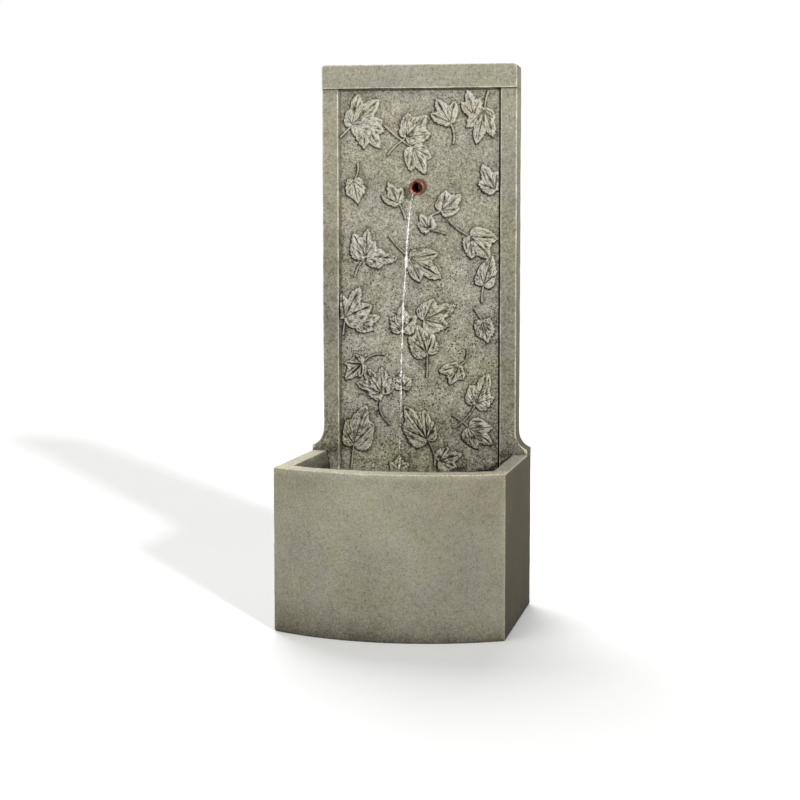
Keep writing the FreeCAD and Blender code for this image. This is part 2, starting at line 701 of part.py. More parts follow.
def make_spout():
    outer = number("spout_pipe") / 2
    mouth = number("spout_mouth") / 2
    wall = number("spout_wall")
    pipe = spout_form(outer, mouth).cut(spout_form(outer - wall, mouth - wall))
    subpart(shaped("spout_pipe_shape", pipe), "spout_pipe")

    fit = "spout_pipe + 2 * running_fit"
    at_panel = ("0", PANEL_FACE + " - flange_thickness", "spout_height")
    subpart(ring("flange_ring", "Y", "flange_diameter", fit, "flange_thickness", at_panel), "spout_flange")
    at_channel = ("0", CHANNEL_FACE, "spout_height")
    subpart(ring("washer_ring", "Y", "washer_diameter", fit, "washer_thickness", at_channel), "spout_washer")

    hexagon = doc.addObject("Part::Prism", "locknut_block")
    hexagon.Polygon = 6
    tie(hexagon, Circumradius="locknut_flats / sqrt(3)", Height="locknut_thickness")
    hexagon.Placement.Rotation = AXIS_TURNS["Y"]
    place(hexagon, "0", NUT_Y, "spout_height")
    thread = rod("locknut_thread", "Y", fit, "locknut_thickness + 2", ("0", NUT_Y + " - 1", "spout_height"))
    subpart(cut("locknut", hexagon, thread), "spout_locknut")

    reach = "%s - %s" % (ELBOW_Y, ELBOW_MOUTH)
    knee = doc.addObject("Part::Sphere", "elbow_knee")
    tie(knee, Radius="elbow_socket / 2")
    place(knee, "0", ELBOW_Y, "spout_height")
    body = join(
        "elbow_body", knee,
        rod("elbow_arm", "Y", "elbow_socket", reach, ("0", ELBOW_MOUTH, "spout_height")),
        rod("elbow_leg", "Z", "elbow_socket - 5", "elbow_drop", ("0", ELBOW_Y, TUBE_END)),
        *hose_tail("elbow_tail", ELBOW_Y, TUBE_END, -1),
    )
    bores = (
        rod("elbow_socket_bore", "Y", fit, "elbow_grip + 1", ("0", ELBOW_MOUTH + " - 1", "spout_height")),
        rod("elbow_level_bore", "Y", "barb_bore", reach, ("0", ELBOW_MOUTH, "spout_height")),
        rod("elbow_upright_bore", "Z", "barb_bore", "elbow_drop + barb_length + 1",
            ("0", ELBOW_Y, TUBE_END + " - barb_length - 1")),
    )
    return subpart(cut("elbow", body, *bores), "spout_elbow")


RIDGES = 3  # ridges of a hose tail


def hose_tail(name, y, z, way):
    """A hose tail that stands up (way 1) or hangs down (way -1) from a height, ridged so that the
    hose slides on and grips."""
    foot = z if way > 0 else z + " - barb_length"
    pieces = [rod(name + "_stem", "Z", "tube_inside", "barb_length", ("0", y, foot))]
    ends = ("barb_ridge", "tube_inside") if way > 0 else ("tube_inside", "barb_ridge")
    for i in range(RIDGES):
        start = "%s + barb_length * %f" % (foot, (i + 0.15) / RIDGES)
        ridge = cone("%s_ridge_%d" % (name, i), "Z", ends, "barb_length * 0.22", ("0", y, start))
        pieces.append(ridge)
    return pieces


# Supply tube


def s_bend(start, offset, radius):
    """Two tangent arcs that carry an upright line sideways by offset, and where they end."""
    side = math.copysign(1, offset)
    turn = math.acos(1 - abs(offset) / (2 * radius))
    rise = radius * math.sin(turn)

    def on_first(angle):
        return start + Vector(0, side * radius * (1 - math.cos(angle)), radius * math.sin(angle))

    def on_second(angle):
        away = Vector(0, offset - side * radius * (1 - math.cos(angle)), 2 * rise - radius * math.sin(angle))
        return start + away

    arcs = [
        Part.Arc(start, on_first(turn / 2), on_first(turn)).toShape(),
        Part.Arc(on_second(turn), on_second(turn / 2), on_second(0)).toShape(),
    ]
    return arcs, on_second(0)


def tube_path():
    """From the pump's nozzle, through the tongue's window, up the channel to the elbow."""
    pump_y, low_y, high_y = number(PUMP_Y), number(TUBE_LOW_Y), number(ELBOW_Y)
    first = Vector(0, pump_y, number(TUBE_START))
    second = Vector(0, pump_y, number(TUBE_START + " + barb_length + tube_straight"))
    low_arcs, third = s_bend(second, low_y - pump_y, number("tube_low_radius"))
    fourth = Vector(0, low_y, number("rim_height + tube_high_start"))
    high_arcs, fifth = s_bend(fourth, high_y - low_y, number("tube_high_radius"))
    last = Vector(0, high_y, number(TUBE_END))
    edges = [Part.LineSegment(first, second).toShape()] + low_arcs
    edges += [Part.LineSegment(third, fourth).toShape()] + high_arcs
    edges.append(Part.LineSegment(fifth, last).toShape())
    return Part.Wire(edges)


def swept(path, radius):
    """A round bar along a path that starts straight up."""
    start = path.OrderedVertexes[0].Point
    section = Part.Wire(Part.Circle(start, Vector(0, 0, 1), radius).toShape())
    return path.makePipeShell([section], True, False)


def make_supply_tube():
    path = tube_path()
    outside = number("tube_outside") / 2
    inside = number("tube_inside") / 2
    tube = swept(path, outside).cut(swept(path, inside))
    area = math.pi * (outside ** 2 - inside ** 2)
    print("supply tube: length %.0f, volume over section times length %.4f"
          % (path.Length, tube.Volume / (area * path.Length)))
    hose = shaped("supply_hose", tube)
    tails = hose_tail("lower_grip", PUMP_Y, TUBE_START, 1) + hose_tail("upper_grip", ELBOW_Y, TUBE_END, -1)
    return subpart(cut("gripped_hose", hose, *tails), "supply_tube")


def make_clamps():
    """A worm-drive clamp at each end of the hose. Both screws are one node."""
    screws = []
    for name, y, z in (
        ("lower", PUMP_Y, TUBE_START + " + barb_length / 2 - band_width / 2"),
        ("upper", ELBOW_Y, TUBE_END + " - barb_length / 2 - band_width / 2"),
    ):
        band = rod(name + "_band", "Z", "tube_outside + 2 * band_thickness", "band_width", ("0", y, z))
        worm = box(
            name + "_worm_box", ("worm_box + band_thickness", "worm_box", "band_width"),
            ("tube_outside / 2", y + " - worm_box / 2", z),
        )
        screw_x = "tube_outside / 2 + band_thickness + worm_box / 2"
        screw_z = z + " + band_width / 2"
        bore = rod(name + "_worm_bore", "Y", "worm_screw + 2 * running_fit", "worm_box + 2",
                   (screw_x, y + " - worm_box / 2 - 1", screw_z))
        hole = rod(name + "_band_hole", "Z", "tube_outside", "band_width + 2", ("0", y, z + " - 1"))
        clamp = cut(name + "_clamp", join(name + "_clamp_body", band, worm), bore, hole)
        subpart(clamp, name + "_hose_clamp")
        head = rod(name + "_screw_head", "Y", "worm_head", "worm_head_height",
                   (screw_x, y + " + worm_box / 2 + assembly_gap", screw_z))
        shank = rod(name + "_screw_shank", "Y", "worm_screw", "worm_box + 1",
                    (screw_x, y + " - worm_box / 2", screw_z))
        slot = box(name + "_screw_slot", ("worm_head + 2", "worm_head_height", "worm_head / 8"),
                   (screw_x + " - worm_head / 2 - 1",
                    y + " + worm_box / 2 + assembly_gap + worm_head_height / 2",
                    screw_z + " - worm_head / 16"))
        screws.append(cut(name + "_screw", join(name + "_screw_body", head, shank), slot))
    both = doc.addObject("Part::Compound", "screws_of_both_clamps")
    both.Links = screws
    return subpart(both, "clamp_screws")


# Pump, lying along X with its outlet straight up under the channel


def pump_rod(name, diameter, length, x):
    """A cylinder on the pump's axis, from x towards the motor's end."""
    return rod(name, "X", diameter, length, (x, PUMP_Y, PUMP_Z))


def pump_box(name, half, x, length):
    """A square bar on the pump's axis."""
    across = "2 * (%s)" % half
    corner = (x, "%s - (%s)" % (PUMP_Y, half), "%s - (%s)" % (PUMP_Z, half))
    return box(name, (length, across, across), corner)


CASE_ROUND = 4  # round of the pump's long edges, trimmed if the pump is very small


def rounded_bar(name, half, x, length):
    """A square bar on the pump's axis with its long edges rounded."""
    bar = pump_box(name + "_bar", half, x, length)
    doc.recompute()
    radius = min(CASE_ROUND, number(half) / 3)
    made = doc.addObject("Part::Fillet", name)
    made.Base = bar
    made.Edges = [
        (i, radius, radius) for i, edge in enumerate(bar.Shape.Edges, start=1)
        if edge.BoundBox.YLength + edge.BoundBox.ZLength < 0.01
    ]
    return made


def cup_places():
    """The suction cups stand under the corners of the motor block."""
    inset = "(cup_diameter / 2 + cup_inset)"
    for x in ("%s + %s" % (CHAMBER_END, inset), "%s - %s" % (MOTOR_END, inset)):
        for side in ("%s - pump_side / 2 + %s", "%s + pump_side / 2 - %s"):
            yield x, side % (PUMP_Y, inset)


def make_pump_housing():
    block = rounded_bar("motor_block", "pump_side / 2", CHAMBER_END, "motor_length")
    cavity = pump_box("motor_cavity", CAVITY_HALF, CHAMBER_END + " + pump_shell", "motor_length")
    shell = cut("motor_shell", block, cavity)
    chamber = pump_rod("chamber", "chamber_outside", "chamber_length", CHAMBER_FRONT)
    well = pump_rod("well", "well_bore + 2 * well_wall", "well_depth + well_end", WELL_MOUTH)
    boss = rod("boss", "Z", "outlet_boss", "outlet_rise", ("0", PUMP_Y, PUMP_Z))
    body = join("housing_body", shell, chamber, well, boss)
    front = CHAMBER_FRONT + " - 1"
    seal = "(chamber_bore + chamber_outside) / 2"
    groove = ring("seal_groove", "X", seal + " + seal_section", seal + " - seal_section",
                  "seal_section + 1", (front, PUMP_Y, PUMP_Z))
    bores = [
        pump_rod("chamber_space", "chamber_bore", "chamber_length - chamber_back + 1", front),
        pump_rod("cover_space", "chamber_outside + 2 * assembly_gap", "outlet_boss",
                 CHAMBER_FRONT + " - outlet_boss"),
        pump_rod("well_space", "well_bore", "well_depth + 1", WELL_MOUTH + " - 1"),
        pump_rod("bush_seat", "bush_diameter", "bush_length", WELL_BOTTOM + " - bush_proud"),
        rod("outlet_way", "Z", "outlet_bore", "outlet_rise + 1", ("0", PUMP_Y, PUMP_Z)),
        rod("outlet_socket_space", "Z", "outlet_socket + 2 * running_fit", "spigot_length + 1",
            ("0", PUMP_Y, NOZZLE_FOOT + " - spigot_length")),
        groove,
    ]
    for i, (x, y) in enumerate(cup_places()):
        bores.append(rod("cup_socket_%d" % i, "Z", "cup_stem + 2 * running_fit", "cup_socket + 1",
                         (x, y, "floor_thickness + cup_height - 1")))
    return subpart(cut("housing", body, *bores), "pump_housing")


def make_motor_end():
    """The cap on the motor block, and the rubber gland in it."""
    plate = rounded_bar("cap_plate", "pump_side / 2", MOTOR_END, "cap_thickness")
    inside = MOTOR_END + " - cap_spigot"
    lip = pump_box("cap_lip", CAVITY_HALF + " - assembly_gap", inside, "cap_spigot + 1")
    gland_z = PUMP_Z + " + gland_lift"
    hole = rod("gland_hole", "X", "gland_neck + 2 * running_fit", "cap_spigot + cap_thickness + 2",
               (inside + " - 1", PUMP_Y, gland_z))
    subpart(cut("cap", join("cap_body", plate, lip), hole), "pump_motor_cap")
    collar = rod("gland_collar", "X", "gland_diameter", "gland_length",
                 (MOTOR_END + " + cap_thickness", PUMP_Y, gland_z))
    neck = rod("gland_stem", "X", "gland_neck", "cap_spigot + cap_thickness + 1", (inside, PUMP_Y, gland_z))
    way = rod("gland_way", "X", "gland_bore", "cap_spigot + cap_thickness + gland_length + 2",
              (inside + " - 1", PUMP_Y, gland_z))
    subpart(cut("gland", join("gland_body", collar, neck), way), "pump_cord_gland")


def make_stator():
    """Two limbs beside the well, a yoke behind it, and the winding round the yoke."""
    outer = CAVITY_HALF + " - assembly_gap"
    inner = "(%s - core_limb)" % outer
    start = CHAMBER_END + " + pump_shell + assembly_gap"
    end = "(%s - core_end_gap)" % MOTOR_END
    stack_y = PUMP_Y + " - core_stack / 2"
    length = "%s - (%s)" % (end, start)
    limb = (length, "core_stack", "core_limb")
    upper = box("upper_limb", limb, (start, stack_y, "%s + %s" % (PUMP_Z, inner)))
    lower = box("lower_limb", limb, (start, stack_y, "%s - (%s)" % (PUMP_Z, outer)))
    yoke = box("yoke", ("core_limb", "core_stack", "2 * (%s)" % outer),
               (end + " - core_limb", stack_y, "%s - (%s)" % (PUMP_Z, outer)))
    pole = pump_rod("pole_space", "well_bore + 2 * well_wall + 2 * assembly_gap",
                    "well_depth + well_end + assembly_gap", WELL_MOUTH)
    subpart(cut("core", join("core_plates", upper, lower, yoke), pole), "stator_core")

    gap = "assembly_gap"
    half = "(%s - %s)" % (inner, gap)
    winding = box(
        "winding", ("core_limb + 2 * coil_build", "core_stack + 2 * coil_build", "2 * " + half),
        (end + " - core_limb - coil_build", stack_y + " - coil_build", "%s - %s" % (PUMP_Z, half)),
    )
    inside = box(
        "winding_hole", ("core_limb + 2 * " + gap, "core_stack + 2 * " + gap, "2 * %s + 2" % half),
        (end + " - core_limb - " + gap, stack_y + " - " + gap, "%s - %s - 1" % (PUMP_Z, half)),
    )
    subpart(cut("coil", winding, inside), "stator_coil")


VANES = 6


def make_rotor():
    """The magnet and the impeller, which turn together on a fixed shaft between two bushes."""
    shaft_way = "shaft_diameter + 2 * running_fit"
    magnet_x = WELL_MOUTH + " + magnet_inset"
    magnet_length = "well_depth - magnet_inset - bush_proud - thrust_gap"
    subpart(ring("magnet", "X", "magnet_diameter", shaft_way, magnet_length, (magnet_x, PUMP_Y, PUMP_Z)),
            "rotor_magnet")

    hub_x = COVER_INSIDE + " + thrust_gap"
    hub = pump_rod("hub", "impeller_hub", "%s - (%s)" % (magnet_x, hub_x), hub_x)
    disc_x = WELL_MOUTH + " - 1 - impeller_disc"
    disc = pump_rod("disc", "impeller_diameter", "impeller_disc", disc_x)
    root = "(impeller_hub / 2 - 1)"
    vanes = []
    for i in range(VANES):
        angle = 2 * math.pi * i / VANES
        turn = (math.sin(angle), math.cos(angle))
        vane = doc.addObject("Part::Box", "vane_%d" % i)
        tie(vane, Length="vane_length + 0.5", Width="vane_thickness",
            Height="impeller_diameter / 2 - 0.3 - " + root)
        vane.Placement.Rotation = Rotation(Vector(1, 0, 0), math.degrees(angle))
        place(
            vane, disc_x + " - vane_length",
            "%s - %s * %.6f - vane_thickness / 2 * %.6f" % (PUMP_Y, root, *turn),
            "%s + %s * %.6f - vane_thickness / 2 * %.6f" % (PUMP_Z, root, turn[1], turn[0]),
        )
        vanes.append(vane)
    bore = pump_rod("impeller_way", shaft_way, "%s - (%s) + 2" % (magnet_x, hub_x), hub_x + " - 1")
    subpart(cut("wheel", join("wheel_body", hub, disc, *vanes), bore), "impeller")

    shaft_x = COVER_FRONT + " + cover_thickness / 3"
    shaft_end = WELL_BOTTOM + " - bush_proud + bush_length - 0.5"
    subpart(pump_rod("shaft", "shaft_diameter", "%s - (%s)" % (shaft_end, shaft_x), shaft_x), "rotor_shaft")
    for name, x in (("rear", WELL_BOTTOM + " - bush_proud"), ("front", COVER_INSIDE + " - bush_length")):
        bush = ring(name + "_bush_ring", "X", "bush_diameter", "shaft_diameter", "bush_length",
                    (x, PUMP_Y, PUMP_Z))
        subpart(bush, name + "_bush")


SPOKES = 3


def make_cover():
    """The plate that closes the chamber, with the front bush in a spoked hub."""
    plate = ring("cover_plate", "X", "chamber_outside", "cover_inlet", "cover_thickness",
                 (COVER_FRONT, PUMP_Y, PUMP_Z))
    spigot = ring("cover_spigot_ring", "X", "chamber_bore - 2 * assembly_gap", "cover_inlet",
                  "cover_spigot + 1", (CHAMBER_FRONT + " - 1", PUMP_Y, PUMP_Z))
    hub = pump_rod("cover_hub", "impeller_hub", "cover_thickness + cover_spigot", COVER_FRONT)
    spokes = []
    for i in range(SPOKES):
        spoke = doc.addObject("Part::Cylinder", "spoke_%d" % i)
        tie(spoke, Radius="cover_thickness / 2 - running_fit", Height="cover_inlet / 2 + 1")
        spoke.Placement.Rotation = Rotation(Vector(1, 0, 0), 360 / SPOKES * i)
        spokes.append(place(spoke, COVER_FRONT + " + cover_thickness / 2", PUMP_Y, PUMP_Z))
    seat = pump_rod("front_bush_seat", "bush_diameter", "bush_length + 1", COVER_INSIDE + " - bush_length")
    nose = pump_rod("shaft_nose_seat", "shaft_diameter", "cover_thickness",
                    COVER_FRONT + " + cover_thickness / 3")
    subpart(cut("cover", join("cover_body", plate, spigot, hub, *spokes), seat, nose), "volute_cover")

    seal = doc.addObject("Part::Torus", "seal")
    tie(seal, Radius1="(chamber_bore + chamber_outside) / 4", Radius2="seal_section / 2")
    seal.Placement.Rotation = AXIS_TURNS["X"]
    place(seal, CHAMBER_FRONT + " + seal_section / 2", PUMP_Y, PUMP_Z)
    subpart(seal, "cover_seal_ring")


FRONT_SLOTS = 4  # slots each side of the middle one
SIDE_SLOTS = 4


def make_strainer():
    """A slotted cage that pushes over the chamber, and the dial that throttles its front."""
    hollow = "chamber_outside / 2 + assembly_gap"
    outer = hollow + " + strainer_wall"
    cage = rounded_bar("cage", outer, STRAINER_FRONT, "strainer_length - assembly_gap")
    inside = pump_box("cage_space", hollow, STRAINER_FRONT + " + strainer_wall", "strainer_length")
    boss_half = "(outlet_boss / 2 + assembly_gap)"
    notch = box(
        "outlet_notch", (CHAMBER_END + " + " + boss_half, "2 * " + boss_half, "chamber_outside / 2"),
        ("-" + boss_half, PUMP_Y + " - " + boss_half, PUMP_Z + " + chamber_outside / 4"),
    )
    spindle_way = pump_rod("spindle_way", "dial_spindle + 2 * running_fit", "strainer_wall + 2",
                           STRAINER_FRONT + " - 1")
    tools = [inside, notch, spindle_way]
    slot_low, slot_length = "dial_spindle / 2 + 2", "chamber_outside / 4"
    for i in range(-FRONT_SLOTS, FRONT_SLOTS + 1):
        y = "%s + %d * strainer_slot_pitch - strainer_slot / 2" % (PUMP_Y, i)
        for band, z in (("up", "%s + %s" % (PUMP_Z, slot_low)),
                        ("down", "%s - (%s) - %s" % (PUMP_Z, slot_low, slot_length))):
            tools.append(box("slot_%s_%d" % (band, i + FRONT_SLOTS),
                             ("strainer_wall + 2", "strainer_slot", slot_length),
                             (STRAINER_FRONT + " - 1", y, z)))
    for i in range(SIDE_SLOTS):
        x = "%s + strainer_wall + 3 + %d * strainer_slot_pitch" % (STRAINER_FRONT, i)
        tools.append(box("side_slot_%d" % i,
                         ("strainer_slot", "2 * (%s) + 2" % outer, "chamber_outside * 0.6"),
                         (x, "%s - (%s) - 1" % (PUMP_Y, outer), PUMP_Z + " - chamber_outside * 0.3")))
    subpart(cut("strainer", cage, *tools), "intake_strainer")

    knob_x = STRAINER_FRONT + " - assembly_gap - dial_thickness"
    knob = pump_rod("knob", "dial_diameter", "dial_thickness", knob_x)
    pointer = box(
        "pointer", ("dial_thickness", "dial_diameter / 6", "dial_diameter"),
        (knob_x + " - dial_thickness / 2", PUMP_Y + " - dial_diameter / 12", PUMP_Z + " - dial_diameter / 2"),
    )
    shutter_x = STRAINER_FRONT + " + strainer_wall + assembly_gap"
    shutter = pump_rod("shutter", "shutter_diameter", "shutter_thickness", shutter_x)
    spindle = pump_rod("spindle", "dial_spindle", "strainer_wall + 2 * assembly_gap + 2",
                       STRAINER_FRONT + " - assembly_gap - 1")
    open_low = "dial_spindle / 2 + 1"
    open_height = "shutter_diameter / 2 - 1.5 - (%s)" % open_low
    openings = [
        box("shutter_opening_%s" % side, ("shutter_thickness + 2", "shutter_diameter * 0.4", open_height),
            (shutter_x + " - 1", PUMP_Y + " - shutter_diameter * 0.2", z))
        for side, z in (("up", "%s + %s" % (PUMP_Z, open_low)),
                        ("down", "%s - (%s) - (%s)" % (PUMP_Z, open_low, open_height)))
    ]
    subpart(cut("dial", join("dial_body", knob, pointer, shutter, spindle), *openings), "flow_dial")


def make_nozzle_and_cups():
    spigot = rod("nozzle_spigot", "Z", "outlet_socket", "spigot_length + 1",
                 ("0", PUMP_Y, NOZZLE_FOOT + " - spigot_length"))
    collar = rod("nozzle_ring", "Z", "outlet_boss", "nozzle_collar", ("0", PUMP_Y, NOZZLE_FOOT))
    way = rod("nozzle_way", "Z", "barb_bore", "spigot_length + nozzle_collar + barb_length + 2",
              ("0", PUMP_Y, NOZZLE_FOOT + " - spigot_length - 1"))
    tail = hose_tail("nozzle_tail", PUMP_Y, TUBE_START, 1)
    subpart(cut("nozzle", join("nozzle_body", spigot, collar, *tail), way), "outlet_nozzle")

    cups = []
    for i, (x, y) in enumerate(cup_places()):
        here = (x, y, "floor_thickness")
        skirt = cone("cup_skirt_%d" % i, "Z", ("cup_diameter", "cup_stem + 4"), "cup_height", here)
        stem = rod("cup_stem_%d" % i, "Z", "cup_stem", "cup_height + cup_socket - assembly_gap", here)
        hollow = cone("cup_hollow_%d" % i, "Z", ("cup_diameter - 3", "cup_stem"), "cup_height / 3", here)
        cups.append(cut("cup_%d" % i, join("cup_body_%d" % i, skirt, stem), hollow))
    four = doc.addObject("Part::Compound", "four_cups")
    four.Links = cups
    subpart(four, "pump_suction_cups")


# Stoppers


def make_stoppers():
    axis_z = "floor_thickness + cord_hole_rise"
    lip_y = BACK + " - basin_back - stopper_lip"
    lip = rod("cord_stopper_lip", "Y", "cord_hole + 2 * stopper_lip_width", "stopper_lip",
              ("0", lip_y, axis_z))
    plug = rod("cord_stopper_plug", "Y", "cord_hole - 2 * running_fit", "basin_back + stopper_lip",
               ("0", lip_y, axis_z))
    bore = rod("cord_stopper_bore", "Y", "cord_bore", "basin_back + stopper_lip + 2",
               ("0", lip_y + " - 1", axis_z))
    slit = box("cord_stopper_slit", ("1", "basin_back + stopper_lip + 2", "cord_hole"),
               ("-0.5", lip_y + " - 1", axis_z))
    subpart(cut("cord_stopper_shape", join("cord_stopper_body", lip, plug), bore, slit), "cord_stopper")

    x, y = "-drain_aside", "-drain_forward"
    seal = rod("drain_plug", "Z", "drain_hole - 2 * running_fit", "drain_plug_length + 1",
               (x, y, "floor_thickness - drain_plug_length"))
    rim = rod("drain_lip", "Z", "drain_hole + 2 * stopper_lip_width", "stopper_lip",
              (x, y, "floor_thickness"))
    knob_z = "floor_thickness + stopper_lip + drain_knob * 0.75"
    neck = rod("drain_neck", "Z", "drain_knob / 2", knob_z + " - floor_thickness", (x, y, "floor_thickness"))
    knob = doc.addObject("Part::Sphere", "drain_knob_ball")
    tie(knob, Radius="drain_knob / 2")
    place(knob, x, y, knob_z)
    subpart(join("drain_stopper_shape", seal, rim, neck, knob), "drain_stopper")


make_basin()
make_back_wall()
make_spout()
make_supply_tube()
make_clamps()
make_pump_housing()
make_motor_end()
make_stator()
make_rotor()
make_cover()
make_strainer()
make_nozzle_and_cups()
make_stoppers()
doc.recompute()

for thing in doc.Objects:
    if "Invalid" in thing.State or "Error" in thing.State:
        raise RuntimeError("%s did not build: %s" % (thing.Name, thing.State))
for piece in subparts:
    if piece.Shape.isNull() or not piece.Shape.isValid() or not piece.Shape.Solids:
        raise RuntimeError("%s has no sound solid" % piece.Label)

os.makedirs("parts", exist_ok=True)
for piece in subparts:
    piece.Shape.exportStep("parts/%s.step" % piece.Label)
    print("%-22s %d solid(s), %.1f cm3" % (piece.Label, len(piece.Shape.Solids), piece.Shape.Volume / 1000))
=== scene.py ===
import math
import bmesh
import bpy
import numpy as np
from mathutils import Matrix, Vector
from mathutils.kdtree import KDTree


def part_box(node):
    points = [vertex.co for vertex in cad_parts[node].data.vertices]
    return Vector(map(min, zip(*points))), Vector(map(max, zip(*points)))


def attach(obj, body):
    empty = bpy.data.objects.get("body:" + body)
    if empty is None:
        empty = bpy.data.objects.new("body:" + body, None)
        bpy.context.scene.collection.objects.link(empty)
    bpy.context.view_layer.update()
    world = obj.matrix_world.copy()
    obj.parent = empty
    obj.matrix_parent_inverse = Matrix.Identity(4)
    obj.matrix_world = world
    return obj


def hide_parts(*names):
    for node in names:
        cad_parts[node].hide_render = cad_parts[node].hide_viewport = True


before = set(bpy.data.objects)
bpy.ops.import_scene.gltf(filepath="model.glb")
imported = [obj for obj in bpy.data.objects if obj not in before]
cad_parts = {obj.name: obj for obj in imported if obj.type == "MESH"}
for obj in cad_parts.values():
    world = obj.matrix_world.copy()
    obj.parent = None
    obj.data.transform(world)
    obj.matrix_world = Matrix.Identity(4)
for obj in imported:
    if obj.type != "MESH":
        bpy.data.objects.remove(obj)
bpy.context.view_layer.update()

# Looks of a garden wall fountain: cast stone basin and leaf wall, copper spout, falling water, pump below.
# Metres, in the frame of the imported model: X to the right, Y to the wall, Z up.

mm = 0.001
scene = bpy.context.scene
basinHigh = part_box("basin")[1]
rimZ = basinHigh.z


# Small helpers for node trees


def node(tree, kind, values=None, **settings):
    # a new node; values gives its inputs plain numbers or the outputs of other nodes
    made = tree.nodes.new(kind)
    for key, value in settings.items():
        setattr(made, key, value)
    for key, value in (values or {}).items():
        if isinstance(value, bpy.types.NodeSocket):
            tree.links.new(value, made.inputs[key])
        else:
            made.inputs[key].default_value = value
    return made


def fed(kind, values, output=0, **settings):
    # an output of a new node in the tree of whatever feeds it
    tree = next(value.id_data for value in values.values() if isinstance(value, bpy.types.NodeSocket))
    return node(tree, kind, values, **settings).outputs[output]


def calc(operation, *values, clamp=False):
    return fed("ShaderNodeMath", dict(enumerate(values)), operation=operation, use_clamp=clamp)


def plus(total, *others):
    for value in others:
        total = calc("ADD", total, value)
    return total


def times(total, *others):
    for value in others:
        total = calc("MULTIPLY", total, value)
    return total


def scaled(value, low, high, newLow=0.0, newHigh=1.0):
    # low to high becomes newLow to newHigh, and no more
    values = {"Value": value, "From Min": low, "From Max": high, "To Min": newLow, "To Max": newHigh}
    return fed("ShaderNodeMapRange", values, clamp=True)


def mixed(share, first, second, blend="MIX"):
    return fed("ShaderNodeMix", {0: share, 6: first, 7: second}, 2, data_type="RGBA", blend_type=blend)


def tinted(share, colour, tint):
    return mixed(share, colour, mixed(1.0, colour, tint, "MULTIPLY"))


def noise(place, scale, detail=3, roughness=0.55):
    values = {"Vector": place, "Scale": scale, "Detail": detail, "Roughness": roughness}
    return fed("ShaderNodeTexNoise", values)


def cells(place, scale, feature="F1"):
    return fed("ShaderNodeTexVoronoi", {"Vector": place, "Scale": scale}, feature=feature)


def axisOf(place, axis):
    return fed("ShaderNodeSeparateXYZ", {0: place}, axis)


def markOf(place, name):
    # a mesh's named value, in the tree where place is
    return node(place.id_data, "ShaderNodeAttribute", attribute_name=name).outputs["Fac"]


def newTree(name, kind, inputs, outputs):
    # a node group whose inputs are (name, type, start) and whose outputs are (name, type)
    tree = bpy.data.node_groups.new(name, kind)
    for label, form, *start in inputs:
        made = tree.interface.new_socket(name=label, in_out="INPUT", socket_type="NodeSocket" + form)
        if start:
            made.default_value = start[0]
    for label, form in outputs:
        tree.interface.new_socket(name=label, in_out="OUTPUT", socket_type="NodeSocket" + form)
    return tree, tree.nodes.new("NodeGroupInput").outputs


def newMaterial(name, **constants):
    # a Principled material; constants are set on the shader itself
    made = bpy.data.materials.new(name)
    made.use_nodes = True
    tree = made.node_tree
    tree.nodes.clear()
    shader = node(tree, "ShaderNodeBsdfPrincipled")
    node(tree, "ShaderNodeOutputMaterial", {0: shader.outputs[0]})
    for key, value in constants.items():
        shader.inputs[key.replace("_", " ")].default_value = value
    return made, shader, node(tree, "ShaderNodeTexCoord").outputs["Object"]


def surface(shader, colour, roughness, height, depth):
    # what every finish has: a colour, a roughness, which may be a plain number, and a fine relief this deep
    tree = shader.id_data
    bump = node(tree, "ShaderNodeBump", {"Height": height, "Distance": depth, "Strength": 1.0})
    for key, value in (("Base Color", colour), ("Roughness", roughness), ("Normal", bump.outputs[0])):
        if isinstance(value, bpy.types.NodeSocket):
            tree.links.new(value, shader.inputs[key])
        else:
            shader.inputs[key].default_value = value


# Camera and light

camera = {
    "place": (0.813265, -3.463576, 0.873562),
    "turn": 8.872,  # degrees to the left of straight ahead
    "tilt": -4.264,  # degrees above the horizon
    "roll": 0.311,
    "lens": 69.05,
    "sensor": 36,
    "shift": (-0.15, -0.0475),
}

studio = {
    "suns": {  # from the object towards the lamp, strength, degrees across
        "keyLight": ((0.70, -0.84, 0.36), 3.2, 5),
        "frontLight": ((-0.55, -1.0, 1.0), 0.76, 60),
        "backLight": ((-0.35, 0.75, 0.9), 2.4, 40),
    },
    "worldLevel": 0.18,
    "seenLevel": 1,
    "white": (1, 1, 1, 1),
}


def makeCamera(values):
    turn, tilt, roll = (math.radians(values[key]) for key in ("turn", "tilt", "roll"))
    ahead = Vector((-math.sin(turn) * math.cos(tilt), math.cos(turn) * math.cos(tilt), math.sin(tilt)))
    level = Vector((math.cos(turn), math.sin(turn), 0))
    upright = level.cross(ahead)
    right = level * math.cos(roll) + upright * math.sin(roll)
    up = upright * math.cos(roll) - level * math.sin(roll)
    data = bpy.data.cameras.new("photoCamera")
    data.lens = values["lens"]
    data.sensor_width = values["sensor"]
    data.shift_x, data.shift_y = values["shift"]
    made = bpy.data.objects.new("photoCamera", data)
    scene.collection.objects.link(made)
    axes = Matrix((right, up, -ahead)).transposed().to_4x4()
    made.matrix_world = Matrix.Translation(values["place"]) @ axes
    scene.camera = made


def makeSun(name, way, strength, softness):
    data = bpy.data.lights.new(name, "SUN")
    data.energy = strength
    data.angle = math.radians(softness)
    made = bpy.data.objects.new(name, data)
    scene.collection.objects.link(made)
    made.rotation_mode = "QUATERNION"
    made.rotation_quaternion = Vector(way).to_track_quat("Z", "Y")


